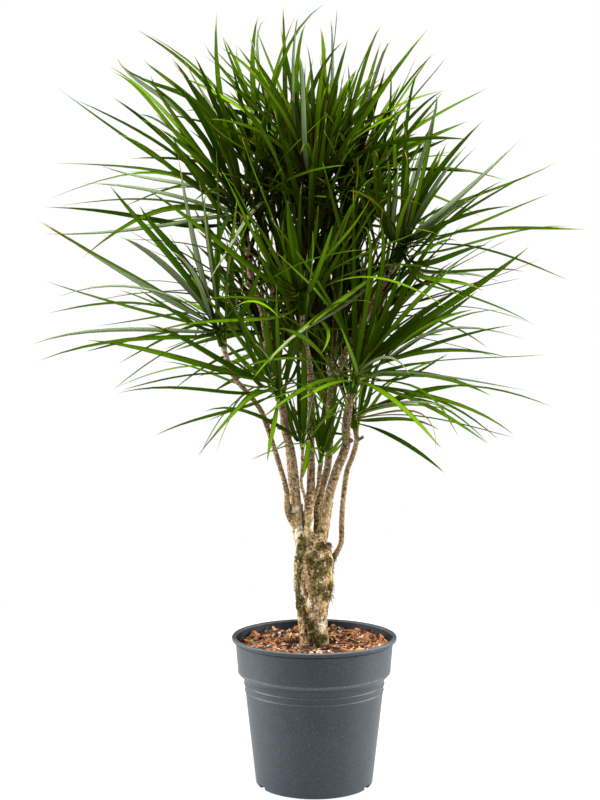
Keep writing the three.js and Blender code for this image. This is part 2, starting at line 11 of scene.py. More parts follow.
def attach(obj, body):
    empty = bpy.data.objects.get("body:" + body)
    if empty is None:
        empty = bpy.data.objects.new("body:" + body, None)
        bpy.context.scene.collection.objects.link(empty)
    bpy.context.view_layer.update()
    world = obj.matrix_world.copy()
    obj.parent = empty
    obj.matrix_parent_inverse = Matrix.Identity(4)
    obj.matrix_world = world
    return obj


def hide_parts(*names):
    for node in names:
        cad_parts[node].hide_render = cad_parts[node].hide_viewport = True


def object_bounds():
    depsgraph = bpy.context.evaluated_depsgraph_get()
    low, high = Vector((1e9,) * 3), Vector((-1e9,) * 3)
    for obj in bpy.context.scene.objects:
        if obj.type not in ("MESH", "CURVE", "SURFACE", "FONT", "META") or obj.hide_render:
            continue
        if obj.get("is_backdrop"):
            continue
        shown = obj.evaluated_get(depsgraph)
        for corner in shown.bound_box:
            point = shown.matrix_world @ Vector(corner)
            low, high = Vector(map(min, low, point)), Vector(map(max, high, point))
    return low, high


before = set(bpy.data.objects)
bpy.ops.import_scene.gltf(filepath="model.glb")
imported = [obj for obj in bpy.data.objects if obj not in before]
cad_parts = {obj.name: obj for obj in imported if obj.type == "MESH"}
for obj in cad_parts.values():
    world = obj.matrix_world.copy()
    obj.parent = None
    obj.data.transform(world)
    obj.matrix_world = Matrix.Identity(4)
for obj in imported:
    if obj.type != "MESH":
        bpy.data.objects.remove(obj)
cad_low, cad_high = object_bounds()

# ---- nursery pot ----
# The real pot is injection moulded from slate grey recycled polypropylene with a fine spark
# grain. Its lip, deep collar, two thin ribs and foot come out of the mould in one shot, and it
# has four notches at its foot and six holes in its floor for the water to drain.

POT_SIDES = 144
# The wall's section in radii and heights: up the outside from the middle of the underside.
POT_OUTSIDE = [
    (0.0, 0.0), (0.018, 0.0), (0.021, 0.004), (0.063, 0.004), (0.066, 0.0), (0.0834, 0.0),
    (0.0851, 0.0016), (0.10044, 0.1349), (0.10058, 0.1361), (0.10062, 0.1364), (0.1013, 0.1365),
    (0.1015, 0.1368), (0.1009, 0.1379), (0.10078, 0.1383), (0.10082, 0.1387), (0.1016, 0.1458),
    (0.10164, 0.1462), (0.1024, 0.1463), (0.1026, 0.1466), (0.1020, 0.1477), (0.10182, 0.1481),
    (0.10186, 0.1485), (0.10260, 0.1550), (0.1030, 0.1560), (0.1060, 0.1580), (0.1088, 0.1606),
    (0.1100, 0.1620), (0.1112, 0.1634), (0.1115, 0.1646), (0.1113, 0.1660), (0.1113, 0.1668),
    (0.1146, 0.2058), (0.1147, 0.2064), (0.1140, 0.2070), (0.1141, 0.2090), (0.1186, 0.2096),
    (0.1196, 0.2101), (0.1200, 0.2110), (0.1200, 0.2138), (0.1192, 0.2149),
]
POT_INSIDE = [
    (0.1180, 0.2150), (0.1142, 0.2146), (0.1130, 0.2130), (0.1091, 0.1656), (0.1080, 0.1632),
    (0.1014, 0.1578), (0.1009, 0.1562), (0.0840, 0.0080), (0.0832, 0.0070), (0.0, 0.0070),
]
# Below this height the inward faces of the wall are darker.
DARKENED_WALL_TOP = 0.2135
DARKENED_INSIDE, SCUFF_AND_HIGHLIGHT = 1, 2
# The heights of the pale bands on the ribs, the collar's foot and the lip: painted highlights and
# scuffs.
PALE_BAND_HEIGHTS = [(0.1366, 0.1380), (0.1464, 0.1478), (0.1618, 0.1660), (0.2137, 0.2150)]
NOTCH_ANGLES = [math.radians(a) for a in (-152, -28, 28, 152)]
NOTCH_RADIUS, NOTCH_SIZE = 0.079, (0.036, 0.016, 0.010)
HOLE_COUNT, HOLE_RING, HOLE_RADIUS = 6, 0.042, 0.004


def keep_mesh(bm, name, *finishes):
    """Writes a bmesh out as a named piece at the origin, with its finishes."""
    mesh = bpy.data.meshes.new(name)
    bm.to_mesh(mesh)
    bm.free()
    piece = bpy.data.objects.new(name, mesh)
    bpy.context.scene.collection.objects.link(piece)
    for finish in finishes:
        mesh.materials.append(finish)
    return piece


def turned_solid(section, sides):
    """A section of radii and heights turned all the way about the Z axis."""
    bm = bmesh.new()
    corners = [bm.verts.new((r, 0, z)) for r, z in section]
    edges = [bm.edges.new(pair) for pair in zip(corners, corners[1:])]
    bmesh.ops.spin(bm, geom=corners + edges, cent=(0, 0, 0), axis=(0, 0, 1), angle=2 * math.pi,
                   steps=sides, use_merge=True)
    bmesh.ops.remove_doubles(bm, verts=bm.verts, dist=1e-6)
    bmesh.ops.recalc_face_normals(bm, faces=bm.faces)
    return bm


def settle(piece):
    """Makes what a piece's modifiers give its real mesh."""
    graph = bpy.context.evaluated_depsgraph_get()
    mesh = bpy.data.meshes.new_from_object(piece.evaluated_get(graph), depsgraph=graph)
    piece.modifiers.clear()
    piece.data = mesh


def cut_away(piece, cutter):
    """Cuts one shape out of a piece and throws the cutter away."""
    cut = piece.modifiers.new("cut", "BOOLEAN")
    cut.object = cutter
    cut.solver = "EXACT"
    settle(piece)
    bpy.data.objects.remove(cutter)


def new_finish(name, roughness):
    """A material, its nodes and its shader."""
    finish = bpy.data.materials.new(name)
    finish.use_nodes = True
    shader = finish.node_tree.nodes["Principled BSDF"]
    shader.inputs["Roughness"].default_value = roughness
    return finish, finish.node_tree, shader


def add_node(tree, kind, links=(), **settings):
    """Adds a shader node, sets its sockets by name and links others into it."""
    made = tree.nodes.new(kind)
    for key, value in settings.items():
        if key in made.inputs:
            made.inputs[key].default_value = value
        else:
            setattr(made, key, value)
    for key, source in dict(links).items():
        tree.links.new(source, made.inputs[key])
    return made


def own_place(tree):
    """Where on its piece a spot is."""
    return add_node(tree, "ShaderNodeTexCoord").outputs["Object"]


def step_mask(tree, value, low, high):
    """0 where a value is low, 1 where it is high."""
    ends = {"From Min": low, "From Max": high}
    return add_node(tree, "ShaderNodeMapRange", {"Value": value}, **ends).outputs["Result"]


def mottle(tree, scale, detail, low, high, place=None):
    """A soft-edged noise mask from 0 to 1 over a piece's own place."""
    place = place or own_place(tree)
    cloud = add_node(tree, "ShaderNodeTexNoise", {"Vector": place}, Scale=scale, Detail=detail)
    return step_mask(tree, cloud.outputs["Fac"], low, high)


def blend_colours(tree, mask, first, second, how="MIX"):
    """Two colours, or two colour outputs, mixed by a mask."""
    mixer = add_node(tree, "ShaderNodeMix", data_type="RGBA", blend_type=how)
    for socket, source in (("Factor", mask), (6, first), (7, second)):
        if isinstance(source, tuple):
            mixer.inputs[socket].default_value = (*source, 1)
        elif isinstance(source, int):
            mixer.inputs[socket].default_value = source
        else:
            tree.links.new(source, mixer.inputs[socket])
    return mixer.outputs[2]


def set_colour(tree, shader, colour):
    tree.links.new(colour, shader.inputs["Base Color"])


def add_bump(tree, shader, height, strength, distance):
    """Fine relief that is too small to be modelled."""
    bump = add_node(tree, "ShaderNodeBump", {"Height": height}, Strength=strength,
                    Distance=distance)
    tree.links.new(bump.outputs["Normal"], shader.inputs["Normal"])


slate, tree, shader = new_finish("slate_grey_polypropylene", 0.48)
shader.inputs["Specular IOR Level"].default_value = 0.4
shader.inputs["Sheen Weight"].default_value = 0.10
shader.inputs["Sheen Roughness"].default_value = 0.35
patch = mottle(tree, 38, 3, 0.35, 0.7)
colour = blend_colours(tree, patch, (0.0138, 0.0228, 0.0330), (0.0178, 0.0285, 0.0402))
speck = mottle(tree, 900, 2, 0.60, 0.72)
set_colour(tree, shader, blend_colours(tree, speck, colour, (0.095, 0.115, 0.130)))
add_bump(tree, shader, mottle(tree, 1500, 2, 0.2, 0.8), 0.25, 0.0003)

# The inside of the wall above the mix is darker.
darkened_inner_slate, tree, shader = new_finish("darkened_inner_wall", 0.6)
shader.inputs["Specular IOR Level"].default_value = 0.2
inner_mottle = mottle(tree, 60, 3, 0.3, 0.7)
colour = blend_colours(tree, inner_mottle, (0.008, 0.011, 0.015), (0.014, 0.019, 0.025))
set_colour(tree, shader, colour)

# The ribs, the foot of the collar and the top of the lip are pale: painted highlights where these
# edges catch the light, and scuffs where stacked pots rub on each other.
worn_and_lit_slate, tree, shader = new_finish("ridge_scuffs_and_painted_highlight", 0.6)
rub = mottle(tree, 240, 3, 0.3, 0.7)
colour = blend_colours(tree, rub, (0.036, 0.045, 0.053), (0.078, 0.090, 0.098))
set_colour(tree, shader, colour)

bm = turned_solid(POT_OUTSIDE + POT_INSIDE, POT_SIDES)
for face in bm.faces:
    face.smooth = True
    middle = face.calc_center_median()
    faces_inward = face.normal.xy.dot(middle.xy.normalized()) < -0.3
    if middle.z < DARKENED_WALL_TOP and faces_inward:
        face.material_index = DARKENED_INSIDE
    elif any(low < middle.z < high for low, high in PALE_BAND_HEIGHTS):
        # The pale bands: painted highlight and scuffs.
        face.material_index = SCUFF_AND_HIGHLIGHT
pot = keep_mesh(bm, "nursery_pot", slate, darkened_inner_slate, worn_and_lit_slate)

bm = bmesh.new()
for angle in NOTCH_ANGLES:
    block = Matrix.Translation((NOTCH_RADIUS, 0, 0)) @ Matrix.Diagonal((*NOTCH_SIZE, 1))
    bmesh.ops.create_cube(bm, size=1, matrix=Matrix.Rotation(angle, 4, "Z") @ block)
for number in range(HOLE_COUNT):
    turn = Matrix.Rotation(number * math.pi / 3, 4, "Z")
    bmesh.ops.create_cone(bm, cap_ends=True, segments=20, radius1=HOLE_RADIUS,
                          radius2=HOLE_RADIUS, depth=0.02,
                          matrix=turn @ Matrix.Translation((HOLE_RING, 0, 0.004)))
cut_away(pot, keep_mesh(bm, "drain_cutter"))
pot.data.set_sharp_from_angle(angle=math.radians(32))
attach(pot, "root")
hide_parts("pot")

# ---- potting mix ----
# The pot is filled to a thumb's width under its lip with composted bark: chips and shreds of red
# brown pine bark, a few pale pieces of wood, grains of white perlite and loose coco fibres. It
# is only pressed in by hand.

SOIL_TOP = 0.202
SOIL_RIM = 0.1117
SOIL_SIDE = [(0.0, 0.0075), (0.0830, 0.0075), (0.1007, 0.157), (0.1086, 0.1655),
             (SOIL_RIM, SOIL_TOP)]
SOIL_SIDES, SOIL_RINGS = 96, 30
CHIP_COUNT, CHIP_KINDS = 1300, 6
PALE_CHIPS = 0.085
SHRED_COUNT = 420
UPRIGHT_FIBRE_EVERY = 14
GRAIN_COUNT = 170
TRUNK_FOOT, NEAREST_SPOT = 0.024, 0.026
BARK_TINTS = [(0.58, 0.23, 0.08), (0.46, 0.15, 0.05), (0.66, 0.30, 0.12), (0.16, 0.055, 0.022),
              (0.34, 0.12, 0.045), (0.70, 0.40, 0.20), (0.05, 0.022, 0.012), (0.30, 0.20, 0.10)]
PALE_TINTS = [(0.66, 0.50, 0.28), (0.85, 0.76, 0.56)]


def draws_from(seed):
    """A repeatable draw between 0 and 1."""
    state = [seed]

    def draw():
        state[0] = (state[0] * 1664525 + 1013904223) % 4294967296
        return state[0] / 4294967296

    return draw


def mix(low, high, share):
    return (1 - share) * low + share * high


def clamp(value, low, high):
    return max(low, min(high, value))


def soil_height(x, y):
    """The top of the mix: low humps, and a slight rise against the trunk."""
    wave = math.sin(x * 110 + 1) * math.cos(y * 90) + 0.6 * math.sin(x * 230 - y * 190)
    return SOIL_TOP + 0.0025 * wave + 0.003 * math.exp(-((x * x + y * y) / 0.0012))


soil_finish, tree, shader = new_finish("dark_fine_bark", 0.95)
clod = mottle(tree, 160, 4, 0.35, 0.65)
set_colour(tree, shader, blend_colours(tree, clod, (0.012, 0.006, 0.003), (0.07, 0.028, 0.013)))
add_bump(tree, shader, mottle(tree, 420, 4, 0.3, 0.7), 0.8, 0.002)

bed = [(SOIL_RIM * (1 - ring / SOIL_RINGS), SOIL_TOP) for ring in range(1, SOIL_RINGS + 1)]
bm = turned_solid(SOIL_SIDE + bed, SOIL_SIDES)
for vert in bm.verts:
    if vert.co.z > SOIL_TOP - 0.001 and vert.co.xy.length < SOIL_RIM - 0.001:
        rough = noise.noise(vert.co * 210) * 0.0022 + noise.noise(vert.co * 520) * 0.001
        vert.co.z = soil_height(vert.co.x, vert.co.y) - 0.001 + rough
soil = keep_mesh(bm, "potting_mix_bed", soil_finish)
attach(soil, "root")
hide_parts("soil")


def attribute(tree, name, output="Fac"):
    """A value or colour that is written on a piece's mesh."""
    return add_node(tree, "ShaderNodeAttribute", attribute_name=name).outputs[output]


# Loose chips, shreds and grains lie on the bed, each with its own tint in an attribute.
chip_finish, tree, shader = new_finish("pine_bark_chips", 0.82)
grain = add_node(tree, "ShaderNodeMapping", {"Vector": own_place(tree)}, Scale=(1, 1, 3.2))
fleck = mottle(tree, 700, 3, 0.3, 0.7, grain.outputs["Vector"])
flecks = blend_colours(tree, fleck, (0.45, 0.40, 0.36), (1.25, 1.22, 1.18))
tint = attribute(tree, "tint", "Color")
set_colour(tree, shader, blend_colours(tree, 1, tint, flecks, "MULTIPLY"))
add_bump(tree, shader, fleck, 0.5, 0.0006)


def keep_template(bm, name):
    """A mesh of its own, to add copies of to a piece."""
    shape = bpy.data.meshes.new(name)
    bm.to_mesh(shape)
    bm.free()
    return shape


def add_copy(bm, shape):
    """Adds a copy of a template and gives back its vertices and faces."""
    first_vert, first_face = len(bm.verts), len(bm.faces)
    bm.from_mesh(shape)
    bm.verts.ensure_lookup_table()
    bm.faces.ensure_lookup_table()
    return bm.verts[first_vert:], bm.faces[first_face:]


def paint_faces(faces, layer, colour):
    for face in faces:
        for loop in face.loops:
            loop[layer] = (*colour, 1)


def chip_shapes(count, seed):
    """A few templates of a bark chip: a bevelled block, worn out of shape at random."""
    shapes = []
    for kind in range(count):
        bm = bmesh.new()
        bmesh.ops.create_cube(bm, size=1)
        for vert in bm.verts:
            vert.co += noise.noise_vector(vert.co * 2.3 + Vector((kind * 7.1, seed, 0))) * 0.42
        bmesh.ops.bevel(bm, geom=bm.edges, offset=0.13, segments=1, profile=0.5,
                        affect="EDGES", material=-1)
        shapes.append(keep_template(bm, "chip_template"))
    return shapes


def lie_at(draw, radius_share, sink):
    """A random spot on the bed, clear of the trunk and of the pot's wall."""
    radius = mix(NEAREST_SPOT, SOIL_RIM - 0.0045, math.sqrt(radius_share))
    angle = draw() * 2 * math.pi
    x, y = radius * math.cos(angle), radius * math.sin(angle)
    return Vector((x, y, soil_height(x, y) + sink))


# The offsets of noise_vector come from a seed of their own.
noise.seed_set(5)
draw = draws_from(5)
bm = bmesh.new()
layer = bm.loops.layers.float_color.new("tint")
shapes = chip_shapes(CHIP_KINDS, 1.5)
for number in range(CHIP_COUNT):
    size = mix(0.55, 1.5, draw() ** 2.2)
    spot = lie_at(draw, draw(), mix(-0.0015, 0.0026, draw()))
    turn = Matrix.Rotation(draw() * 6.28, 4, "Z")
    turn = turn @ Matrix.Rotation(mix(-0.55, 0.55, draw()), 4, "X")
    turn = turn @ Matrix.Rotation(mix(-0.6, 0.6, draw()), 4, "Y")
    length = mix(0.005, 0.0115, draw()) * size
    width = mix(0.0025, 0.0052, draw()) * size
    thickness = mix(0.0012, 0.0026, draw()) * size
    tints = PALE_TINTS if draw() < PALE_CHIPS else BARK_TINTS
    verts, faces = add_copy(bm, shapes[number % CHIP_KINDS])
    place = Matrix.Translation(spot) @ turn @ Matrix.Diagonal((length, width, thickness, 1))
    for vert in verts:
        vert.co = place @ vert.co
    paint_faces(faces, layer, tints[int(draw() * len(tints))])
chips = keep_mesh(bm, "bark_chips", chip_finish)
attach(chips, "root")


def add_rowed_cone(bm, sides, rows, top=1.0):
    """Adds a closed cone along Z from 0 to 1, 1 in radius at its foot, divided into rows."""
    bmesh.ops.create_cone(bm, cap_ends=True, segments=sides, radius1=1, radius2=top, depth=1,
                          matrix=Matrix.Translation((0, 0, 0.5)))
    long_edges = [e for e in bm.edges if abs(e.verts[0].co.z - e.verts[1].co.z) > 0.5]
    bmesh.ops.subdivide_edges(bm, edges=long_edges, cuts=rows - 1)


def thread_shape(sides, rows):
    """A template of a thread: a thin closed cone."""
    bm = bmesh.new()
    add_rowed_cone(bm, sides, rows, 0.35)
    for face in bm.faces:
        face.smooth = True
    return keep_template(bm, "thread_template")


def add_thread(bm, shape, path, thickness, tint, layer):
    """Adds a thread whose rows are moved onto a path(t) of points."""
    verts, faces = add_copy(bm, shape)
    for vert in verts:
        t = clamp(vert.co.z, 0, 1)
        ahead = (path(min(t + 0.02, 1)) - path(max(t - 0.02, 0))).normalized()
        across = ahead.orthogonal().normalized()
        point = path(t) + across * (vert.co.x * thickness)
        vert.co = point + ahead.cross(across) * (vert.co.y * thickness)
    paint_faces(faces, layer, tint)


def arc_path(start, heading, length, sag):
    """A path that sets off in a direction and bends by sag."""
    def path(t):
        return start + heading * (length * t) + sag * (t * t)
    return path


draw = draws_from(17)
bm = bmesh.new()
layer = bm.loops.layers.float_color.new("tint")
shape = thread_shape(4, 4)
for number in range(SHRED_COUNT):
    spot = lie_at(draw, draw(), mix(-0.001, 0.002, draw()))
    angle = draw() * 2 * math.pi
    rise = mix(-0.05, 0.30, draw() ** 2)
    length = mix(0.008, 0.024, draw())
    if number % UPRIGHT_FIBRE_EVERY == 0:
        rise, length = mix(0.5, 1.1, draw()), mix(0.009, 0.017, draw())
    level = math.cos(rise)
    heading = Vector((math.cos(angle) * level, math.sin(angle) * level, math.sin(rise)))
    end = spot + heading * length
    if not TRUNK_FOOT <= end.xy.length <= SOIL_RIM - 0.003:
        continue
    bend = Vector((mix(-1, 1, draw()), mix(-1, 1, draw()), mix(-0.5, 0.1, draw())))
    tint = BARK_TINTS[int(draw() * 6)] if draw() < 0.6 else PALE_TINTS[number % 2]
    path = arc_path(spot, heading, length, bend * (length * 0.35))
    add_thread(bm, shape, path, mix(0.00025, 0.0008, draw()), tint, layer)
shreds = keep_mesh(bm, "bark_shreds_and_fibres", chip_finish)
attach(shreds, "root")

perlite_finish, tree, shader = new_finish("white_perlite", 0.9)
crumb = mottle(tree, 900, 3, 0.3, 0.7)
set_colour(tree, shader, blend_colours(tree, crumb, (0.62, 0.60, 0.55), (0.95, 0.94, 0.90)))
draw = draws_from(29)
bm = bmesh.new()
for number in range(GRAIN_COUNT):
    spot = lie_at(draw, draw(), mix(0.0002, 0.0022, draw()))
    size = mix(0.0009, 0.0024, draw() ** 1.5)
    made = bmesh.ops.create_icosphere(bm, subdivisions=1, radius=size,
                                      matrix=Matrix.Translation(spot))
    for vert in made["verts"]:
        vert.co += noise.noise_vector(vert.co * 900) * (size * 0.5)
perlite = keep_mesh(bm, "perlite_grains", perlite_finish)
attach(perlite, "root")

# ---- trunk and branches ----
# One old stump that was cut back three times and shot again: pale corky bark, thin and
# grey-beige, with moss in its folds. The younger stems are ringed by the scars of fallen leaves.
# All of it grew as one piece; the fork is skinned over so that the joins flow.

# Each stem has its radii at the foot, a fifth of the way along and at the tip, and the points
# that it passes through. Here and in the leaves, measures are in millimetres.
STEMS = {
    "far_left": ((6, 3.8, 3.6), [
        (-24, -8, 372), (-38, -12, 397), (-41, -15, 432), (-52, -18, 471), (-68, -24, 522),
        (-78, -28, 547), (-98, -33, 573), (-115, -36, 594), (-130, -40, 637)]),
    "left_front": ((8, 5.6, 5.5), [
        (-24, -6, 380), (-25, -12, 413), (-29, -20, 456), (-34, -28, 490), (-42, -37, 516),
        (-44, -46, 540), (-48, -50, 561)]),
    "upper_left": ((8, 5.6, 5), [
        (-22, 2, 375), (-28, 10, 405), (-35, 16, 470), (-44, 20, 543), (-56, 22, 605),
        (-69, 22, 650), (-76, 22, 690), (-91, 24, 723), (-93, 24, 745), (-100, 25, 802)]),
    "low_centre": ((3, 2.4, 2.3), [
        (-10, -18, 404), (-15, -20, 424), (-19, -25, 440), (-18, -30, 460), (-17, -35, 490)]),
    "low_right": ((4, 3.5, 3.4), [
        (-6, -13, 400), (1, -11, 421), (6, -12, 435), (7, -16, 452), (9, -20, 470)]),
    "upper_centre": ((6.5, 5.3, 5), [
        (-7, -14, 405), (-5, -11, 440), (-5, -4, 501), (-5, 0, 587), (-18, 2, 631),
        (-21, 4, 674), (-12, 6, 731), (-4, 8, 785), (-2, 10, 847)]),
    "back_centre": ((8, 5.5, 5), [
        (-2, 6, 355), (2, 14, 388), (11, 18, 431), (20, 20, 462), (24, 22, 528),
        (25, 24, 580), (29, 32, 640), (34, 50, 721), (40, 70, 778), (47, 90, 832)]),
    "upper_right": ((6, 5, 5), [
        (24, 24, 568), (38, 22, 608), (52, 16, 638), (71, 8, 671), (94, -4, 717),
        (116, -10, 757)]),
    "right": ((9, 7.2, 6), [
        (4, 0, 350), (13, -2, 378), (22, -4, 422), (32, -8, 456), (45, -14, 492),
        (45, -20, 518), (48, -26, 545), (53, -30, 571)]),
    "right_low": ((5, 3.9, 3.8), [
        (14, 8, 300), (27, 12, 325), (39, 13, 348), (40, 13, 380), (43, 13, 420),
        (48, 14, 454), (57, 15, 479), (62, 16, 500), (59, 15, 517)]),
    "back_upper_left": ((5.5, 5, 4.8), [
        (-68, 22, 636), (-65, 40, 674), (-57, 70, 734), (-47, 95, 787), (-44, 110, 833)]),
    "back_left": ((5, 4.5, 4.5), [(-44, 20, 540), (-53, 50, 578), (-69, 95, 622), (-79, 130, 659)]),
    "back_right": ((5, 4.5, 4.5), [(25, 22, 572), (46, 55, 597), (73, 95, 632), (86, 120, 659)]),
    "back": ((5, 4.5, 4.5), [(24, 20, 524), (16, 60, 555), (8, 95, 591), (4, 115, 617)]),
    "front": ((5, 4.5, 4.5), [(-5, 2, 583), (-8, -28, 612), (-14, -45, 645), (-17, -55, 682)]),
}
# The stump's radius at each height.
STUMP_RADII = [(190, 21.5), (208, 21), (240, 21.5), (262, 24.5), (290, 28), (322, 28.5), (345, 24),
               (366, 15)]
LIMBS = [
    ((17, 12, 9.5), [(-7, -2, 318), (-16, -4, 350), (-25, -7, 388), (-26, -6, 408)]),
    ((12, 8, 6.8), [(-2, -6, 326), (-8, -10, 362), (-8, -14, 400), (-6, -14, 424)]),
    ((15, 10, 8), [(3, 2, 320), (9, 1, 352), (15, 0, 384), (20, -3, 412)]),
]
# Cut branches: where each starts and ends, and its radius.
STUBS = [
    ((10, -6, 330), (22, -20, 352), 4.5), ((-68, -24, 524), (-60, -30, 531), 3),
    ((-43, -38, 518), (-52, -43, 522), 3), ((45, -15, 496), (54, -22, 502), 3.2),
    ((62, 16, 498), (71, 10, 504), 2.6), ((-90, 24, 722), (-101, 18, 727), 3.4),
]
TAPER_KNEE = 0.2
LINE_PARTS = 200


def plus(a, b, share=1.0):
    return (a[0] + b[0] * share, a[1] + b[1] * share, a[2] + b[2] * share)


def dot(a, b):
    return a[0] * b[0] + a[1] * b[1] + a[2] * b[2]


def cross(a, b):
    return (a[1] * b[2] - a[2] * b[1], a[2] * b[0] - a[0] * b[2], a[0] * b[1] - a[1] * b[0])


def unit(a):
    size = math.sqrt(dot(a, a)) or 1.0
    return (a[0] / size, a[1] / size, a[2] / size)


def gap_between(a, b):
    return math.sqrt(sum((q - p) ** 2 for p, q in zip(a, b)))


class StemLine:
    """A smooth line through points, with its length measured in parts."""

    def __init__(self, points):
        self.points = points
        ends = [self.point(part / LINE_PARTS) for part in range(LINE_PARTS + 1)]
        self.marks = [0.0]
        for a, b in zip(ends, ends[1:]):
            self.marks.append(self.marks[-1] + gap_between(a, b))
        self.length = self.marks[-1]

    def point(self, t):
        last = len(self.points) - 1
        place = last * t
        whole = math.floor(place)
        share = place - whole
        if whole >= last:
            whole, share = last - 1, 1.0
        p1, p2 = self.points[whole], self.points[whole + 1]
        p0 = self.points[whole - 1] if whole > 0 else plus(plus(p1, p2, -1), p1)
        p3 = self.points[whole + 2] if whole + 2 <= last else plus(plus(p2, p1, -1), p2)
        made = []
        for a, b, c, d in zip(p0, p1, p2, p3):
            t0, t1 = 0.5 * (c - a), 0.5 * (d - b)
            c2, c3 = -3 * b + 3 * c - 2 * t0 - t1, 2 * b - 2 * c + t0 + t1
            made.append(b + t0 * share + c2 * share * share + c3 * share * share * share)
        return tuple(made)

    def share_at(self, u):
        """Where along its points a share of the line's length is reached."""
        wanted = u * self.length
        low = 0
        while low < LINE_PARTS - 1 and self.marks[low + 1] <= wanted:
            low += 1
        past = (wanted - self.marks[low]) / (self.marks[low + 1] - self.marks[low])
        return (low + past) / LINE_PARTS

    def at(self, u):
        return self.point(self.share_at(u))

    def heading(self, t):
        a, b = self.point(max(t - 0.0001, 0)), self.point(min(t + 0.0001, 1))
        return unit(plus(b, a, -1))


def tapered(radii, t):
    """The radius of a stem that is stoutest at its foot."""
    if t < TAPER_KNEE:
        return mix(radii[0], radii[1], t / TAPER_KNEE)
    return mix(radii[1], radii[2], (t - TAPER_KNEE) / (1 - TAPER_KNEE))


def add_stem(bm, line, radius_at, sides, rings):
    """A round stem: a cylinder whose rings are moved onto a line, with radius_at(u, angle)."""
    tube = bmesh.new()
    add_rowed_cone(tube, sides, rings)
    shares = [line.share_at(ring / rings) if ring else 0.0 for ring in range(rings)] + [1.0]
    spots = [Vector(line.point(t)) for t in shares]
    headings = [Vector(line.heading(t)) for t in shares]
    turn = headings[0].to_track_quat("Z", "Y")
    turns = [turn]
    for before, after in zip(headings, headings[1:]):
        turn = before.rotation_difference(after) @ turn
        turns.append(turn)
    for vert in tube.verts:
        ring = round(vert.co.z * rings)
        angle = math.atan2(vert.co.y, vert.co.x)
        reach = radius_at(ring / rings, angle)
        flat = Vector((math.cos(angle) * reach, math.sin(angle) * reach, 0))
        vert.co = (spots[ring] + turns[ring] @ flat) * 0.001
    for face in tube.faces:
        face.smooth = True
    shape = keep_template(tube, "stem_template")
    bm.from_mesh(shape)
    bpy.data.meshes.remove(shape)


# The moss is where the photograph shows it: down the left edge, in the seams and at the cut ends.
# The lichen is in pale round patches between. Each spot has its middle and its reach.
MOSS_SPOTS = [
    (-20, -17, 345, 9), (-20, -18, 330, 9), (-21, -17, 315, 9), (-22, -16, 298, 10),
    (-24, -12, 282, 10), (-23, -13, 266, 10), (-19, -16, 254, 9), (-4, -27, 330, 9),
    (6, -27, 322, 10), (14, -24, 312, 9), (2, -27, 308, 7), (20, -18, 325, 8), (10, -22, 352, 7),
    (26, -6, 345, 7), (22, -18, 350, 6), (4, -26, 286, 8), (14, -22, 280, 9), (24, -10, 288, 8),
    (24, -9, 275, 8), (-12, -19, 240, 7), (-6, -20, 232, 6), (-4, -21, 214, 8), (6, -20, 210, 9),
    (14, -15, 212, 7), (24, 2, 315, 9), (28, 8, 325, 6), (18, 18, 300, 12), (-6, 27, 315, 12),
    (-22, 14, 290, 12), (0, 24, 262, 10), (-36, -10, 396, 4), (14, 20, 232, 8),
    (-14, 18, 226, 8), (-18, -16, 358, 6), (-38, -12, 399, 4),
]
LICHEN_SPOTS = [
    (12, -19, 233, 8), (-22, -14, 366, 8), (-24, -12, 350, 5), (0, -18, 380, 7),
    (-18, -20, 282, 4), (-8, -24, 268, 5), (2, -24, 262, 4), (10, -22, 300, 4),
    (-27, -14, 402, 5), (0, 22, 330, 9), (-16, 14, 250, 8), (18, 8, 250, 7), (-2, -21, 248, 4),
]


def nearness(co, spots):
    """1 at the middle of the nearest of some round spots, 0 well outside all of them."""
    most = 0.0
    for x, y, z, reach in spots:
        drop = (co.z * 1000 - z) * 0.75
        away = math.sqrt((co.x * 1000 - x) ** 2 + (co.y * 1000 - y) ** 2 + drop ** 2)
        most = max(most, 1 - away / (reach * 1.35))
    return most


def moss_at(co):
    """How mossy a spot on the wood is, from 0 to 1."""
    near = nearness(co, MOSS_SPOTS)
    rough = noise.noise(co * 110) * 0.7 + noise.noise(co * 300) * 0.6 + noise.noise(co * 800) * 0.35
    if near > 0:
        return clamp((near * 1.5 + rough - 0.28) * 2.2, 0, 1)
    return clamp(rough * 1.2 - 0.62, 0, 0.6)


def lichen_at(co):
    """How much pale lichen covers a spot."""
    rough = noise.noise(co * 240 + Vector((3, 1, 0))) * 0.8 + noise.noise(co * 600) * 0.4
    return clamp((nearness(co, LICHEN_SPOTS) * 1.4 + rough - 0.3) * 2.5, 0, 1)


def both_masks(tree, first, second):
    """1 only where two masks both are."""
    return add_node(tree, "ShaderNodeMath", {0: first, 1: second},
                    operation="MULTIPLY").outputs["Value"]


bark, tree, shader = new_finish("pale_corky_bark", 0.88)
age = attribute(tree, "age")
wide = mottle(tree, 52, 4, 0.38, 0.62)
fine = mottle(tree, 300, 5, 0.36, 0.62)
pits = both_masks(tree, mottle(tree, 270, 6, 0.535, 0.575), mottle(tree, 34, 2, 0.42, 0.52))
upright = add_node(tree, "ShaderNodeMapping", {"Vector": own_place(tree)}, Scale=(0.7, 0.7, 4.5))
scars = mottle(tree, 120, 3, 0.52, 0.64, upright.outputs["Vector"])
tuft = mottle(tree, 210, 5, 0.43, 0.60)
pale = blend_colours(tree, fine, (0.10, 0.054, 0.015), (0.43, 0.27, 0.098))
grey = blend_colours(tree, fine, (0.22, 0.140, 0.050), (0.66, 0.49, 0.245))
young = blend_colours(tree, fine, (0.085, 0.052, 0.023), (0.30, 0.20, 0.10))
green = blend_colours(tree, tuft, (0.010, 0.008, 0.003), (0.19, 0.150, 0.022))
colour = blend_colours(tree, age, blend_colours(tree, wide, pale, grey), young)
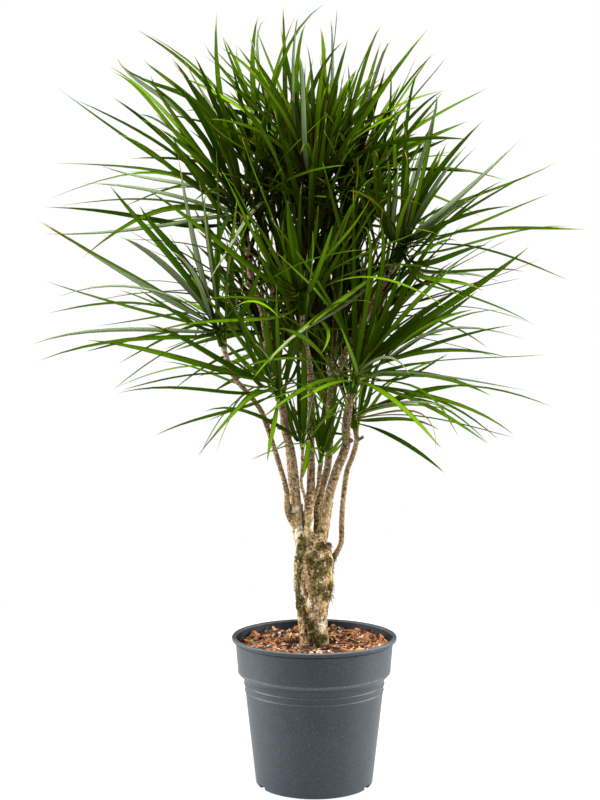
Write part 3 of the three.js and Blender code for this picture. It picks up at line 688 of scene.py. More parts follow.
# Painted shade: the hollow mark darkens the bark in its folds and in the seams between the stems.
for mask, over in ((attribute(tree, "lichen"), (0.74, 0.68, 0.52)), (pits, (0.060, 0.034, 0.014)),
                   (both_masks(tree, scars, age), (0.055, 0.033, 0.015)),
                   (attribute(tree, "hollow"), (0.030, 0.018, 0.008)),
                   (attribute(tree, "moss"), green)):
    colour = blend_colours(tree, mask, colour, over)
set_colour(tree, shader, colour)
add_bump(tree, shader, mottle(tree, 420, 4, 0.25, 0.75), 0.9, 0.0016)


def write_marks(piece, name, values):
    marks = piece.data.attributes.new(name, "FLOAT", "POINT")
    for value, mark in zip(values, marks.data):
        mark.value = value


def hollowness(piece):
    """How deep in a hollow each point lies, from 0 to 0.95, for the shade that is painted there."""
    bm = bmesh.new()
    bm.from_mesh(piece.data)
    bm.verts.ensure_lookup_table()
    around = [[edge.other_vert(vert) for edge in vert.link_edges] for vert in bm.verts]
    bends = []
    for vert, others in zip(bm.verts, around):
        rises = [(other.co - vert.co).normalized().dot(vert.normal) for other in others]
        bends.append(sum(rises) / len(rises))
    for smoothing in range(2):
        bends = [(bend + sum(bends[other.index] for other in others)) / (1 + len(others))
                 for bend, others in zip(bends, around)]
    bm.free()
    return [clamp((bend - 0.02) * 11, 0, 0.95) for bend in bends]


def mark_wood(piece, age_of):
    """Writes how mossy, how covered in lichen, how young and how hollow each point is."""
    for name, value_of in (("moss", moss_at), ("lichen", lichen_at), ("age", age_of)):
        write_marks(piece, name, [value_of(vert.co) for vert in piece.data.vertices])
    write_marks(piece, "hollow", hollowness(piece))


def stump_radius(u, angle):
    z = mix(STUMP_RADII[0][0], STUMP_RADII[-1][0], u)
    for (z0, r0), (z1, r1) in zip(STUMP_RADII, STUMP_RADII[1:]):
        if z <= z1 + 1e-6:
            break
    lumps = 1 + 0.05 * math.sin(3 * angle + z * 0.05) + 0.03 * math.sin(5 * angle - z * 0.09)
    return mix(r0, r1, clamp((z - z0) / (z1 - z0), 0, 1)) * lumps


STEMS_IN_THE_FORK = ("right_low", "right", "back_centre", "upper_left", "left_front", "far_left")
SKINNED_SHARE = 0.18

bm = bmesh.new()
stump_line = StemLine([(-1, 0, STUMP_RADII[0][0]), (-2, 0, STUMP_RADII[-1][0])])
add_stem(bm, stump_line, stump_radius, 40, 44)
for radii, points in LIMBS:
    add_stem(bm, StemLine(points), lambda u, angle, radii=radii: tapered(radii, u), 24, 24)
start, end, radius = STUBS[0]
add_stem(bm, StemLine([start, end]), lambda u, angle: radius, 16, 4)
for name in STEMS_IN_THE_FORK:
    radii, points = STEMS[name]
    line = StemLine(points)
    foot = StemLine([points[0], line.at(0.06), line.at(0.12), line.at(SKINNED_SHARE)])
    add_stem(bm, foot, lambda u, angle, radii=radii: tapered(radii, u * SKINNED_SHARE), 20, 16)
stump = keep_mesh(bm, "stump_and_fork", bark)
skin = stump.modifiers.new("skin", "REMESH")
skin.mode = "VOXEL"
skin.voxel_size = 0.0013
skin.use_smooth_shade = True
settle(stump)

bm = bmesh.new()
bm.from_mesh(stump.data)
bmesh.ops.smooth_vert(bm, verts=bm.verts, factor=0.5, use_axis_x=True, use_axis_y=True,
                      use_axis_z=True)
bm.normal_update()
for vert in bm.verts:
    stretched = Vector((vert.co.x, vert.co.y, vert.co.z * 0.35))
    furrow = noise.noise(stretched * 190)
    plates = noise.noise(vert.co * 95) * 0.7 + noise.noise(vert.co * 330) * 0.4
    vert.co += vert.normal * (0.0011 * plates - 0.0036 * max(0.0, furrow - 0.10))
bm.to_mesh(stump.data)
bm.free()
mark_wood(stump, lambda co: 0.25 * clamp((co.z - 0.38) / 0.05, 0, 1))
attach(stump, "root")
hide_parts("trunk")

SCAR_GAP = 7.4


def ringed(radii, length, seed):
    """A stem's radius with the scars of its fallen leaves: uneven rings, 6 to 9 mm apart."""
    def radius_at(u, angle):
        along = u * length
        uneven = along + 1.6 * math.sin(angle + seed)
        uneven = uneven + 1.3 * noise.noise((along * 0.06, seed, 0.0))
        scar = math.exp(-(((uneven / SCAR_GAP) % 1.0 - 0.5) / 0.11) ** 2)
        about = (along * 0.05, math.cos(angle) * 0.7, math.sin(angle) * 0.7 + seed)
        return tapered(radii, u) * (1 + 0.06 * noise.noise(about)) + 0.6 * scar - 0.15
    return radius_at


bm = bmesh.new()
for seed, (radii, points) in enumerate(STEMS.values()):
    line = StemLine(points)
    add_stem(bm, line, ringed(radii, line.length, seed), 14, round(line.length / 1.5))
for start, end, radius in STUBS[1:]:
    line = StemLine([start, end])
    add_stem(bm, line, ringed((radius, radius, radius * 0.92), line.length, 3), 14, 6)
stems = keep_mesh(bm, "ringed_stems", bark)
mark_wood(stems, lambda co: clamp((co.z - 0.36) / 0.16, 0, 1) * 0.9)
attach(stems, "root")
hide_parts("trunk")

# ---- moss ----
# Cushion moss grows on the damp side of the stump and in the cut ends. It is a felt of short
# dull green threads; two dry wisps hang from the right side.

moss_finish, tree, shader = new_finish("dull_green_moss", 0.95)
set_colour(tree, shader, attribute(tree, "tint", "Color"))
MOSS_TINTS = [(0.085, 0.062, 0.010), (0.012, 0.009, 0.002), (0.27, 0.22, 0.025),
              (0.070, 0.040, 0.010)]
MOSS_THREADS = 3000
# Each wisp hangs from a spot on the bark and has a reach, in millimetres.
HANGING_WISPS = [((24, -14, 292), 14), ((23, -15, 277), 16)]
WISP_STRANDS = 26

draw = draws_from(41)
bm = bmesh.new()
layer = bm.loops.layers.float_color.new("tint")
shape = thread_shape(3, 2)
felt = [p for p in stump.data.polygons if moss_at(p.center) > 0.6]
for number in range(MOSS_THREADS):
    spot = felt[int(draw() * len(felt))]
    length = mix(0.0010, 0.0036, draw() ** 1.5)
    tilt = Vector((mix(-1, 1, draw()), mix(-1, 1, draw()), mix(-1, 0.8, draw())))
    heading = (spot.normal + tilt * 0.7).normalized()
    sag = Vector((0, 0, -0.4 * length))
    path = arc_path(spot.center - spot.normal * 0.0003, heading, length, sag)
    add_thread(bm, shape, path, mix(0.00022, 0.0006, draw()), MOSS_TINTS[int(draw() * 4)], layer)
strand = thread_shape(4, 5)
for (x, y, z), reach in HANGING_WISPS:
    for number in range(WISP_STRANDS):
        aside, ahead, up = mix(-2, 1, draw()), mix(-3, 3, draw()), mix(-5, 5, draw())
        start = Vector((x + aside, y + ahead, z + up)) * 0.001
        heading = Vector((mix(0.2, 1, draw()), mix(-0.5, 0.5, draw()), mix(-0.5, 0.3, draw())))
        length = mix(0.35, 1, draw()) * reach * 0.0005
        sag = Vector((mix(-0.002, 0.002, draw()), 0, -mix(0.2, 1, draw()) * reach * 0.0006))
        path = arc_path(start, heading.normalized(), length, sag)
        add_thread(bm, strand, path, 0.0004, MOSS_TINTS[3 - number % 2], layer)
moss = keep_mesh(bm, "moss_cushions", moss_finish)
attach(moss, "root")

# ---- leaves ----
# Every stem ends in a head of stiff strap leaves, up to 35 cm long and 13 mm wide, dark green
# with a hair-thin maroon edge, grey-green below and pale where they clasp the stem. They grow in
# a spiral: the youngest stand upright, the oldest arch out and hang.

GOLDEN_TURN = math.radians(137.508)
# For each head: its name, how many leaves it can hold, how low the oldest point (the sine of their
# rise), and the tips that were read off the photograph, each with how high its leaf is arched.
HEADS = [
    ("far_left", 20, -0.1, [
        (-285, -90, 860, 0), (-260, -150, 785, 20), (-355, -60, 795, 30), (-380, -100, 810, -5),
        (-385, -20, 730, 10), (-340, -150, 705, 50), (-400, -70, 635, 33), (-375, -120, 615, 35),
        (-140, -60, 945, 5)]),
    ("left_front", 22, -0.15, [
        (-225, -140, 665, 0), (-320, -60, 645, 15), (-270, -100, 575, 25), (-240, -150, 515, 35),
        (-145, -260, 555, 30), (-160, -120, 485, 45), (-65, -110, 480, 45), (75, -200, 695, 50)]),
    ("upper_left", 24, 0.15, [
        (-140, 60, 1130, 0), (-160, -20, 1065, 0), (-200, 120, 1100, 0), (-260, 60, 1100, 20),
        (-235, -70, 1030, 15), (-305, 150, 1015, 10), (-380, 60, 1020, 15), (-275, -80, 930, 25),
        (-385, 40, 900, 45), (-375, -70, 835, 60), (-355, 120, 840, 30), (-330, -60, 760, 68)]),
    ("low_centre", 8, 0.1, [(-15, -70, 450, 60), (-45, -50, 540, 10)]),
    ("low_right", 9, 0.1, []),
    ("upper_centre", 30, 0.2, [(-20, -40, 1105, 0), (155, -60, 1075, 25), (10, 60, 1100, 0)]),
    ("back_centre", 28, 0.15, [
        (25, 60, 1115, 0), (75, 120, 1120, 0), (95, 30, 1100, 5), (185, 20, 1005, 15),
        (270, 150, 1035, 25), (185, 180, 1090, 15)]),
    ("upper_right", 24, 0.1, [
        (145, -60, 1015, 0), (240, -40, 960, 5), (285, -90, 925, 10), (355, 0, 900, 15),
        (300, 90, 895, 10), (325, -120, 845, 15), (370, -20, 805, 35), (225, -160, 770, 30),
        (355, 60, 745, 50), (290, -60, 740, 40), (305, -60, 665, 60)]),
    ("right", 22, -0.05, [
        (195, -120, 755, 0), (300, -50, 775, 0), (245, -170, 750, 5), (270, -120, 665, 15),
        (310, 30, 650, 35), (270, -60, 620, 35), (245, -80, 570, 40), (170, -160, 500, 45),
        (-40, -180, 755, 10)]),
    ("right_low", 20, -0.15, [
        (210, 150, 620, 10), (355, 60, 545, 45), (230, -20, 585, 20), (290, 0, 510, 65),
        (245, -40, 500, 56), (185, -60, 500, 50), (285, 110, 490, 60)]),
    ("back_upper_left", 30, 0.15, [(-85, 160, 1135, 0), (-45, 120, 1130, 0), (15, 80, 1120, 15)]),
    ("back_left", 26, 0, []),
    ("back_right", 23, 0, []),
    ("back", 24, -0.05, []),
    ("front", 23, 0.1, []),
]
HEAD_LEAF_LENGTH, HEAD_LEAF_WIDTH = 320, 12
CORE_HEIGHT = 46
SMALL_STEM, SMALL_HEAD = 3.5, 0.45
MOST_HANG = 55
CELL = 5
SPOT_GAP = 4
CROWDED_SHARE = 0.16
ATTEMPTS = 150
taken_cells = {}


def width_share(t):
    """A leaf's width along its length: a neck, the widest part, and a long fine point."""
    if t < 0.4:
        s = t / 0.4
        return mix(0.3, 1, s * s * (3 - 2 * s))
    return 1 - ((t - 0.4) / 0.6) ** 1.6


def bend_point(line, t):
    """A point on a leaf's middle line, which its root, two handles and tip give."""
    a, b, c, d = line
    k = 1 - t
    w0, w1, w2, w3 = k * k * k, 3 * k * k * t, 3 * k * t * t, t * t * t
    return tuple(p * w0 + q * w1 + r * w2 + s * w3 for p, q, r, s in zip(a, b, c, d))


def turned_about(a, axis, angle):
    """A direction turned about a unit axis."""
    c, s = math.cos(angle), math.sin(angle)
    made = plus(tuple(x * c for x in a), cross(axis, a), s)
    return plus(made, axis, dot(axis, a) * (1 - c))


def section_at(leaf, t):
    """A leaf's middle point, side and downward directions, and half width at t."""
    line = leaf["line"]
    before, after = bend_point(line, max(t - 0.0001, 0)), bend_point(line, min(t + 0.0001, 1))
    ahead = unit(plus(after, before, -1))
    side = unit(plus(leaf["side"], ahead, -dot(leaf["side"], ahead)))
    side = turned_about(side, ahead, leaf["twist"] * t)
    return bend_point(line, t), side, cross(side, ahead), leaf["width"] * width_share(t) / 2


def shape_leaf(head, tip, lift, sway, width, twist):
    """A leaf from its head's core to its tip, arched by lift and bent aside by sway."""
    base, axis = head["base"], head["axis"]
    reach = plus(tip, base, -1)
    rise = clamp(dot(unit(reach), axis), -1, 1)
    out = unit(plus(reach, axis, -dot(reach, axis)))
    height = mix(0.15, 0.85, clamp((rise + 0.35) / 1.35, 0, 1)) * head["core_height"]
    root = plus(plus(base, axis, height + 0.3), out, head["core_radius"] * 0.35)
    side = unit(cross(axis, out))
    run = plus(tip, root, -1)
    length = math.sqrt(dot(run, run))
    near = plus(plus(plus(root, run, 1 / 3), (0, 0, 1), lift), axis, length * 0.06)
    far = plus(plus(plus(root, run, 2 / 3), (0, 0, 1), lift), side, sway)
    rows = (0, 0.14, 0.4, 0.7, 1) if abs(lift) > 20 else (0, 0.2, 0.6, 1)
    return {"line": (root, near, far, tip), "side": side, "width": width, "twist": twist,
            "rows": rows}


def leaf_spots(leaf):
    """Points over a leaf, a small gap apart, with their share of its length."""
    sections = [(t, section_at(leaf, t)) for t in leaf["rows"]]
    for (t0, (p0, side0, _, half0)), (t1, (p1, side1, _, half1)) in zip(sections, sections[1:]):
        steps = math.ceil(gap_between(p0, p1) / SPOT_GAP)
        ends = [(plus(p0, side0, edge * half0), plus(p1, side1, edge * half1))
                for edge in (-1, 0, 1)]
        for step in range(steps):
            s = (step + 1) / steps
            for a, b in ends:
                yield (*(p + (q - p) * s for p, q in zip(a, b)), mix(t0, t1, s))


def cell_of(spot):
    return tuple(math.floor(value / CELL) for value in spot[:3])


def take_space(spots, bit):
    """Marks the cells around some spots as taken by the owner of a bit."""
    for spot in spots:
        i, j, k = cell_of(spot)
        for a in (-1, 0, 1):
            for b in (-1, 0, 1):
                for c in (-1, 0, 1):
                    key = (i + a, j + b, k + c)
                    taken_cells[key] = taken_cells.get(key, 0) | bit


def is_clear(leaf, bit):
    """A leaf may start among its neighbours, but runs clear of all after that."""
    own = bit | (bit << 16)
    for spot in leaf_spots(leaf):
        owners = taken_cells.get(cell_of(spot), 0)
        if owners and (spot[3] >= CROWDED_SHARE or owners & ~own):
            return False
    return True


def keep_if_clear(head, leaf):
    if not is_clear(leaf, head["bit"]):
        return False
    take_space(leaf_spots(leaf), head["bit"])
    head["leaves"].append(leaf)
    return True


def place_by_hand(head, tip):
    """A leaf whose tip was read off the photograph gives way only a little in depth."""
    x, y, z, lift = tip
    draw = head["draw"]
    for attempt in range(ATTEMPTS):
        shift = (draw() - 0.5) * attempt
        width = HEAD_LEAF_WIDTH * mix(0.85, 1.1, draw())
        sway, twist = mix(-15, 15, draw()), mix(-0.5, 0.5, draw())
        if keep_if_clear(head, shape_leaf(head, (x, y + shift, z), lift, sway, width, twist)):
            return


def spiral_leaf(head, order, fill, loosen, shorten):
    """The next leaf of the spiral: the oldest lie lowest and droop, the youngest stand upright."""
    draw, base, size = head["draw"], head["base"], head["size"]
    lean = unit(tuple(mix(a, b, 0.5) for a, b in zip(head["axis"], (0, 0, 1))))
    across = unit(cross((0, 1, 0), lean))
    along = cross(lean, across)
    age = 1 - (order + 0.5) / fill
    turn = head["first_turn"] + order * GOLDEN_TURN + (draw() - 0.5) * loosen * 2
    rise = math.asin(mix(0.98, head["lowest"], age)) + (draw() - 0.5) * loosen
    length = size * HEAD_LEAF_LENGTH * mix(0.72, 1, draw()) * mix(0.86, 1, age) * shorten
    out = plus(tuple(x * math.cos(turn) for x in across), along, math.sin(turn))
    heading = plus(tuple(x * math.cos(rise) for x in out), lean, math.sin(rise))
    droop = length * mix(0, 0.14, age) * draw()
    tip = plus(plus(base, heading, length), (0, 0, -1), droop)
    tip = (tip[0], tip[1], max(tip[2], base[2] - MOST_HANG))
    lift = length * mix(0, 0.16, age) * draw() + droop * 0.3
    width = HEAD_LEAF_WIDTH * mix(0.75, 1.05, draw()) * math.sqrt(size)
    sway = length * mix(-0.06, 0.06, draw())
    return shape_leaf(head, tip, lift, sway, width, mix(-0.6, 0.6, draw()))


def place_by_rule(head, order):
    """The spiral's next leaf, tried looser and shorter until it is clear of all others."""
    for attempt in range(ATTEMPTS):
        shorten = mix(1, 0.7, attempt / ATTEMPTS)
        leaf = spiral_leaf(head, order, head["fill"], 0.15 + attempt * 0.008, shorten)
        if keep_if_clear(head, leaf):
            return


heads = []
for number, (name, fill, lowest, tips) in enumerate(HEADS):
    radii, points = STEMS[name]
    line = StemLine(points)
    small = radii[2] < SMALL_STEM
    draw = draws_from(101 + number * 37)
    heads.append({
        "name": name, "fill": fill, "lowest": lowest, "tips": tips, "draw": draw,
        "bit": 1 << number, "first_turn": draw() * 2 * math.pi,
        "base": line.point(1), "axis": line.heading(1),
        "core_radius": radii[2] + 2.2, "core_height": 0.6 * CORE_HEIGHT if small else CORE_HEIGHT,
        "size": SMALL_HEAD if small else 1, "leaves": [], "more": [],
    })
for head in heads:
    radii, points = STEMS[head["name"]]
    line = StemLine(points)
    steps = math.ceil(line.length / SPOT_GAP)
    for step in range(steps + 1):
        p, r = line.at(step / steps), radii[1]
        around = [p] + [plus(p, way) for way in ((r, 0, 0), (-r, 0, 0), (0, r, 0), (0, -r, 0))]
        take_space(around, head["bit"] << 16)
for head in heads:
    height = 0
    while height <= head["core_height"]:
        take_space([plus(head["base"], head["axis"], height)], head["bit"])
        height += SPOT_GAP
for head in heads:
    for tip in head["tips"]:
        place_by_hand(head, tip)
for order in range(max(head["fill"] for head in heads)):
    for head in heads:
        if order < head["fill"]:
            place_by_rule(head, order)

# The crown is fuller than the solids. First come the leaves that can be told apart in the
# photograph, read off it one by one. Each has the pixels that it passes a third and two thirds of
# the way along and at its tip, then how deep its tip lies and how wide it is in millimetres, and
# its tone: from 0 for dark to 1 for bright. The tone holds the leaf's own green together with
# painted light and shade: lit leaves have bright tones and shaded ones dark tones.
# Tones that mark a leaf turned over, whose underside is silvery grey-green with a painted sheen,
# and a withered leaf.
SILVERY, WITHERED = 2, 3
SEEN_LEAVES = {
    "far_left": [
        (187, 277, 148, 230, 110, 184, -80, 10, 0.2),
        (195, 275, 165, 238, 140, 205, -60, 10, 0.25),
        (188, 288, 155, 257, 120, 236, -110, 9, SILVERY),
        (175, 303, 115, 267, 44, 222, -90, 9, SILVERY),
        (206, 290, 193, 235, 179, 155, 0, 9, SILVERY),
        (209, 305, 200, 270, 183, 242, -100, 7, 0.5),
        (207, 305, 195, 275, 170, 250, -120, 8, SILVERY),
        (218, 290, 219, 235, 217, 150, 20, 7, 0.1),
        (215, 290, 207, 235, 207, 190, -10, 5, SILVERY),
        (230, 320, 232, 290, 233, 256, -80, 11, 0.35),
        (229, 322, 237, 298, 250, 276, -110, 11, SILVERY),
        (238, 320, 252, 292, 264, 262, -90, 10, 0.3), (185, 321, 120, 304, 46, 281, -60, 5, 0.3),
        (180, 300, 125, 286, 58, 297, -30, 4, SILVERY),
        (185, 331, 110, 330, 30, 345, -60, 6, SILVERY), (190, 337, 125, 340, 38, 361, -80, 6, 0.6),
        (200, 313, 155, 317, 96, 326, 0, 3.5, 0.4), (190, 318, 150, 301, 120, 290, 40, 3.5, 0.3),
        (200, 327, 170, 309, 138, 289, -20, 6, 0.15)],
    "left_front": [
        (240, 371, 195, 345, 147, 324, -60, 8, 0.15), (228, 372, 160, 353, 86, 340, -100, 9, 0.45),
        (240, 384, 205, 371, 162, 361, -60, 4, 0.3), (238, 393, 185, 388, 117, 393, -40, 5, 0.25),
        (250, 405, 205, 417, 154, 436, -80, 5, 0.35), (258, 393, 237, 409, 197, 456, -110, 7, 0.6),
        (275, 418, 271, 438, 267, 462, -120, 8, 0.8), (268, 372, 258, 350, 250, 322, -80, 8, 0.2),
        (275, 370, 268, 345, 262, 318, -70, 8, 0.15), (262, 355, 243, 323, 218, 282, -110, 6, 0.5),
        (281, 350, 286, 315, 295, 288, -90, 6, 0.7), (262, 378, 240, 358, 222, 340, -60, 7, 0.2),
        (265, 372, 250, 352, 240, 335, -90, 7, 0.35), (262, 386, 248, 372, 228, 360, -40, 6, 0.2),
        (286, 375, 290, 350, 292, 325, -80, 7, 0.2),
        (276, 372, 268, 358, 255, 343, -100, 4, SILVERY),
        (292, 378, 300, 358, 308, 335, -100, 5, 0.3), (260, 372, 247, 340, 235, 305, -40, 7, 0.15)],
    "upper_left": [
        (205, 188, 160, 171, 57, 163, 20, 5.5, 0.45),
        (205, 189, 155, 179, 99, 164, -60, 6, SILVERY),
        (195, 184, 140, 173, 48, 200, -20, 3.5, 0.6),
        (200, 203, 150, 190, 84, 183, -40, 6, SILVERY), (195, 182, 140, 146, 60, 88, 40, 5.5, 0.4),
        (195, 206, 145, 199, 60, 206, 60, 3.5, 0.5), (195, 226, 135, 216, 46, 207, -50, 8, 0.35),
        (200, 208, 150, 214, 83, 258, -80, 8, 0.75),
        (215, 217, 145, 228, 45, 234, -60, 6.5, SILVERY),
        (210, 205, 180, 207, 142, 210, -90, 4, 0.5), (222, 170, 195, 125, 140, 75, 0, 9, 0.15),
        (236, 160, 215, 115, 172, 60, 60, 7, 0.35), (243, 150, 222, 105, 195, 55, 40, 6, 0.5),
        (235, 165, 221, 95, 218, 10, 20, 10, 0.35), (258, 150, 272, 85, 296, 14, 0, 7, 0.5),
        (262, 140, 282, 62, 325, 3, -20, 7, 0.25), (222, 135, 182, 90, 145, 60, -20, 8, 0.6),
        (190, 140, 150, 95, 111, 66, 20, 7, 0.5), (195, 125, 150, 88, 118, 57, 50, 8, SILVERY),
        (190, 150, 150, 100, 115, 72, 0, 7, 0.4), (210, 115, 168, 88, 120, 63, 40, 8, 0.35),
        (200, 150, 168, 105, 152, 75, -40, 6, 0.75), (195, 165, 155, 128, 114, 97, -40, 7, 0.35),
        (205, 180, 172, 143, 142, 119, -60, 9, 0.5), (212, 165, 185, 138, 155, 112, -20, 6, 0.45),
        (190, 165, 140, 131, 76, 99, -20, 5, 0.55), (190, 182, 155, 154, 117, 133, -60, 7, 0.5),
        (195, 150, 160, 121, 140, 115, 20, 4, SILVERY), (218, 150, 196, 108, 168, 78, 30, 8, 0.15),
        (228, 160, 205, 118, 178, 90, 10, 8, 0.3), (220, 178, 190, 150, 160, 128, -50, 8, 0.6),
        (222, 190, 196, 168, 172, 150, -70, 8, 0.3),
        (238, 205, 219, 210, 200, 218, -80, 7, SILVERY),
        (243, 215, 243, 250, 243, 295, -60, 7, 0.2), (232, 215, 219, 240, 216, 290, -60, 8, 0.15)],
    "back_upper_left": [
        (255, 165, 222, 122, 184, 58, 60, 9, SILVERY), (250, 140, 215, 86, 150, 34, 80, 6, 0.6),
        (262, 140, 245, 85, 222, 34, 80, 8, 0.6), (258, 125, 243, 80, 236, 43, 100, 5, SILVERY),
        (262, 150, 253, 75, 258, 7, 60, 10, 0.5), (270, 120, 258, 55, 266, 19, 100, 5, SILVERY),
        (272, 130, 261, 75, 249, 33, 90, 8, SILVERY), (286, 150, 285, 75, 283, 4, 40, 9, 0.4),
        (293, 160, 310, 95, 343, 41, -20, 9, 0.3), (284, 175, 281, 125, 277, 84, -60, 9, 0.85),
        (270, 175, 253, 132, 232, 83, -20, 8, 0.8),
        (262, 203, 238, 233, 204, 289, -120, 7, SILVERY),
        (292, 187, 303, 169, 322, 155, -60, 5, 0.8), (268, 165, 262, 120, 252, 84, 20, 8, 0.35),
        (275, 170, 270, 130, 264, 90, -20, 7, 0.3), (262, 180, 235, 145, 205, 118, 0, 8, 0.3),
        (265, 185, 238, 155, 206, 130, -20, 7, 0.5), (258, 190, 225, 160, 188, 128, 0, 6, 0.3),
        (228, 110, 185, 62, 138, 29, 60, 6, 0.55), (222, 130, 195, 90, 173, 58, 30, 8, 0.4),
        (230, 130, 210, 90, 195, 55, 50, 8, 0.45), (255, 115, 228, 75, 205, 43, 70, 6, 0.55),
        (258, 120, 238, 75, 223, 35, 40, 7, 0.55), (240, 150, 218, 108, 200, 72, 0, 9, 0.3),
        (248, 160, 228, 118, 212, 80, -20, 9, 0.6), (255, 150, 242, 105, 232, 65, 10, 8, 0.2)],
    "upper_centre": [
        (297, 140, 293, 70, 299, 11, 60, 6, SILVERY), (299, 150, 296, 80, 306, 22, 0, 9, 0.3),
        (305, 150, 303, 95, 299, 55, 40, 9, SILVERY), (322, 150, 324, 75, 320, 28, 20, 10, 0.3),
        (306, 175, 310, 140, 310, 108, 60, 11, SILVERY),
        (318, 180, 322, 155, 326, 115, -50, 9, 0.75), (250, 188, 205, 163, 150, 150, -60, 4, 0.8),
        (262, 157, 225, 136, 190, 98, -80, 4, 0.75), (295, 192, 280, 183, 264, 178, -60, 4, 0.9),
        (335, 165, 358, 85, 381, 25, 30, 7, 0.4), (335, 160, 372, 103, 427, 28, -40, 10, 0.6),
        (330, 165, 345, 115, 362, 60, 20, 8, 0.45), (305, 165, 300, 130, 290, 95, -20, 8, 0.35),
        (318, 165, 330, 120, 338, 80, 0, 8, 0.4), (290, 180, 268, 155, 245, 128, -20, 8, 0.45),
        (300, 175, 292, 150, 286, 110, -40, 8, 0.3)],
    "back_centre": [
        (333, 150, 332, 75, 330, 18, 60, 6, SILVERY), (352, 150, 366, 90, 380, 42, 60, 8, 0.5),
        (352, 165, 372, 85, 390, 42, 90, 7, SILVERY), (378, 160, 389, 110, 390, 62, 40, 4, 0.6),
        (365, 150, 400, 92, 433, 54, 90, 4, 0.4), (370, 165, 405, 122, 442, 90, 40, 7, 0.6),
        (385, 150, 435, 115, 486, 88, 60, 5.5, 0.45), (385, 163, 425, 139, 466, 121, 20, 8, 0.6),
        (385, 168, 415, 152, 450, 137, 0, 8, 0.6), (385, 218, 415, 222, 447, 228, -90, 7, 0.75),
        (370, 225, 405, 228, 438, 235, -80, 5, 0.4), (345, 165, 346, 120, 362, 95, 90, 9, SILVERY),
        (358, 170, 378, 135, 402, 108, 60, 7, 0.4), (350, 160, 358, 115, 372, 75, 60, 8, 0.35)],
    "upper_right": [
        (402, 200, 406, 120, 418, 73, 20, 6, 0.35), (410, 200, 428, 135, 435, 95, 40, 6, SILVERY),
        (412, 215, 424, 165, 434, 110, -30, 8, 0.55),
        (405, 215, 415, 172, 428, 130, -10, 11, SILVERY),
        (413, 225, 430, 180, 446, 142, -50, 6, 0.4), (408, 220, 420, 190, 441, 155, -60, 10, 0.25),
        (397, 235, 405, 205, 421, 174, -90, 7, 0.8), (390, 232, 388, 200, 387, 163, -90, 6, 0.6),
        (393, 232, 394, 205, 397, 172, -80, 7, SILVERY),
        (402, 235, 415, 200, 430, 170, -70, 9, 0.5), (400, 230, 405, 190, 404, 150, -60, 11, 0.5),
        (385, 230, 380, 190, 375, 150, -70, 9, 0.3), (412, 213, 438, 170, 482, 120, -40, 10, 0.45),
        (418, 215, 438, 180, 466, 145, -60, 7, SILVERY), (420, 215, 440, 185, 475, 147, 0, 5, 0.5),
        (425, 225, 460, 195, 520, 138, 20, 9, SILVERY),
        (420, 240, 450, 212, 500, 188, -40, 8, SILVERY),
        (430, 214, 490, 190, 555, 162, 60, 4.5, 0.45),
        (430, 232, 475, 204, 532, 172, 40, 4.5, 0.5), (430, 230, 465, 215, 512, 206, -20, 7, 0.4),
        (425, 230, 450, 209, 474, 202, -60, 7, SILVERY),
        (440, 238, 490, 218, 550, 193, 30, 4.5, 0.45), (440, 251, 500, 235, 572, 226, 0, 4, 0.4),
        (420, 264, 452, 255, 486, 245, -60, 8, 0.25), (415, 255, 438, 243, 457, 243, -90, 4, 0.5),
        (425, 271, 475, 270, 524, 272, -70, 5, 0.3),
        (420, 271, 455, 273, 500, 282, -80, 5.5, SILVERY),
        (418, 275, 448, 281, 483, 291, -120, 8, 0.6),
        (415, 278, 435, 287, 470, 300, -100, 5, 0.45),
        (430, 280, 480, 300, 534, 325, -60, 3.5, 0.5),
        (345, 297, 293, 337, 250, 383, -190, 8, 0.95),
        (345, 305, 300, 332, 266, 368, -180, 6, SILVERY),
        (402, 225, 406, 180, 402, 120, -60, 9, 0.4), (389, 230, 389, 195, 387, 160, -80, 7, 0.45),
        (392, 230, 393, 200, 398, 165, -60, 6, SILVERY),
        (378, 200, 374, 150, 371, 100, 0, 6, 0.45), (375, 205, 352, 155, 318, 105, -60, 7, 0.2),
        (408, 220, 425, 180, 440, 148, 20, 8, 0.3)],
    "right": [
        (410, 330, 470, 290, 529, 246, -120, 11, 0.5),
        (405, 340, 440, 318, 478, 290, -140, 9, 0.35), (395, 335, 430, 308, 462, 288, -90, 8, 0.2),
        (395, 325, 425, 292, 460, 260, -140, 7, 0.65), (385, 330, 412, 275, 444, 225, -60, 9, 0.3),
        (400, 352, 445, 323, 503, 310, -60, 4, 0.45),
        (400, 350, 445, 329, 525, 339, -80, 5, SILVERY),
        (395, 358, 450, 339, 513, 325, -100, 5.5, 0.4),
        (400, 357, 450, 350, 508, 357, -90, 6, 0.45), (392, 373, 440, 377, 492, 396, -130, 9, 0.5),
        (395, 372, 455, 378, 530, 391, -60, 3.5, SILVERY),
        (405, 391, 460, 405, 515, 435, -140, 6, 0.5),
        (405, 396, 447, 416, 489, 444, -160, 6, 0.35),
        (410, 385, 440, 406, 459, 437, -150, 3.5, 0.4),
        (380, 390, 410, 414, 442, 449, -190, 7, 0.7),
        (372, 362, 392, 358, 412, 379, -170, 5, SILVERY),
        (385, 371, 408, 365, 437, 364, -90, 5, 0.3), (395, 380, 425, 368, 449, 353, -60, 4, 0.3),
        (325, 380, 293, 395, 261, 419, -180, 7, 0.9),
        (333, 383, 315, 391, 298, 401, -170, 6, 0.85),
        (338, 403, 322, 422, 309, 441, -100, 4, 0.4), (357, 370, 350, 350, 340, 325, -80, 6, 0.7),
        (363, 362, 372, 335, 385, 300, -90, 9, 0.3), (362, 330, 370, 262, 361, 226, -130, 7, 0.65),
        (372, 320, 383, 255, 373, 214, -120, 7, 0.6), (355, 340, 354, 280, 353, 186, -60, 8, 0.3),
        (335, 312, 305, 263, 270, 218, -150, 4.5, 0.7),
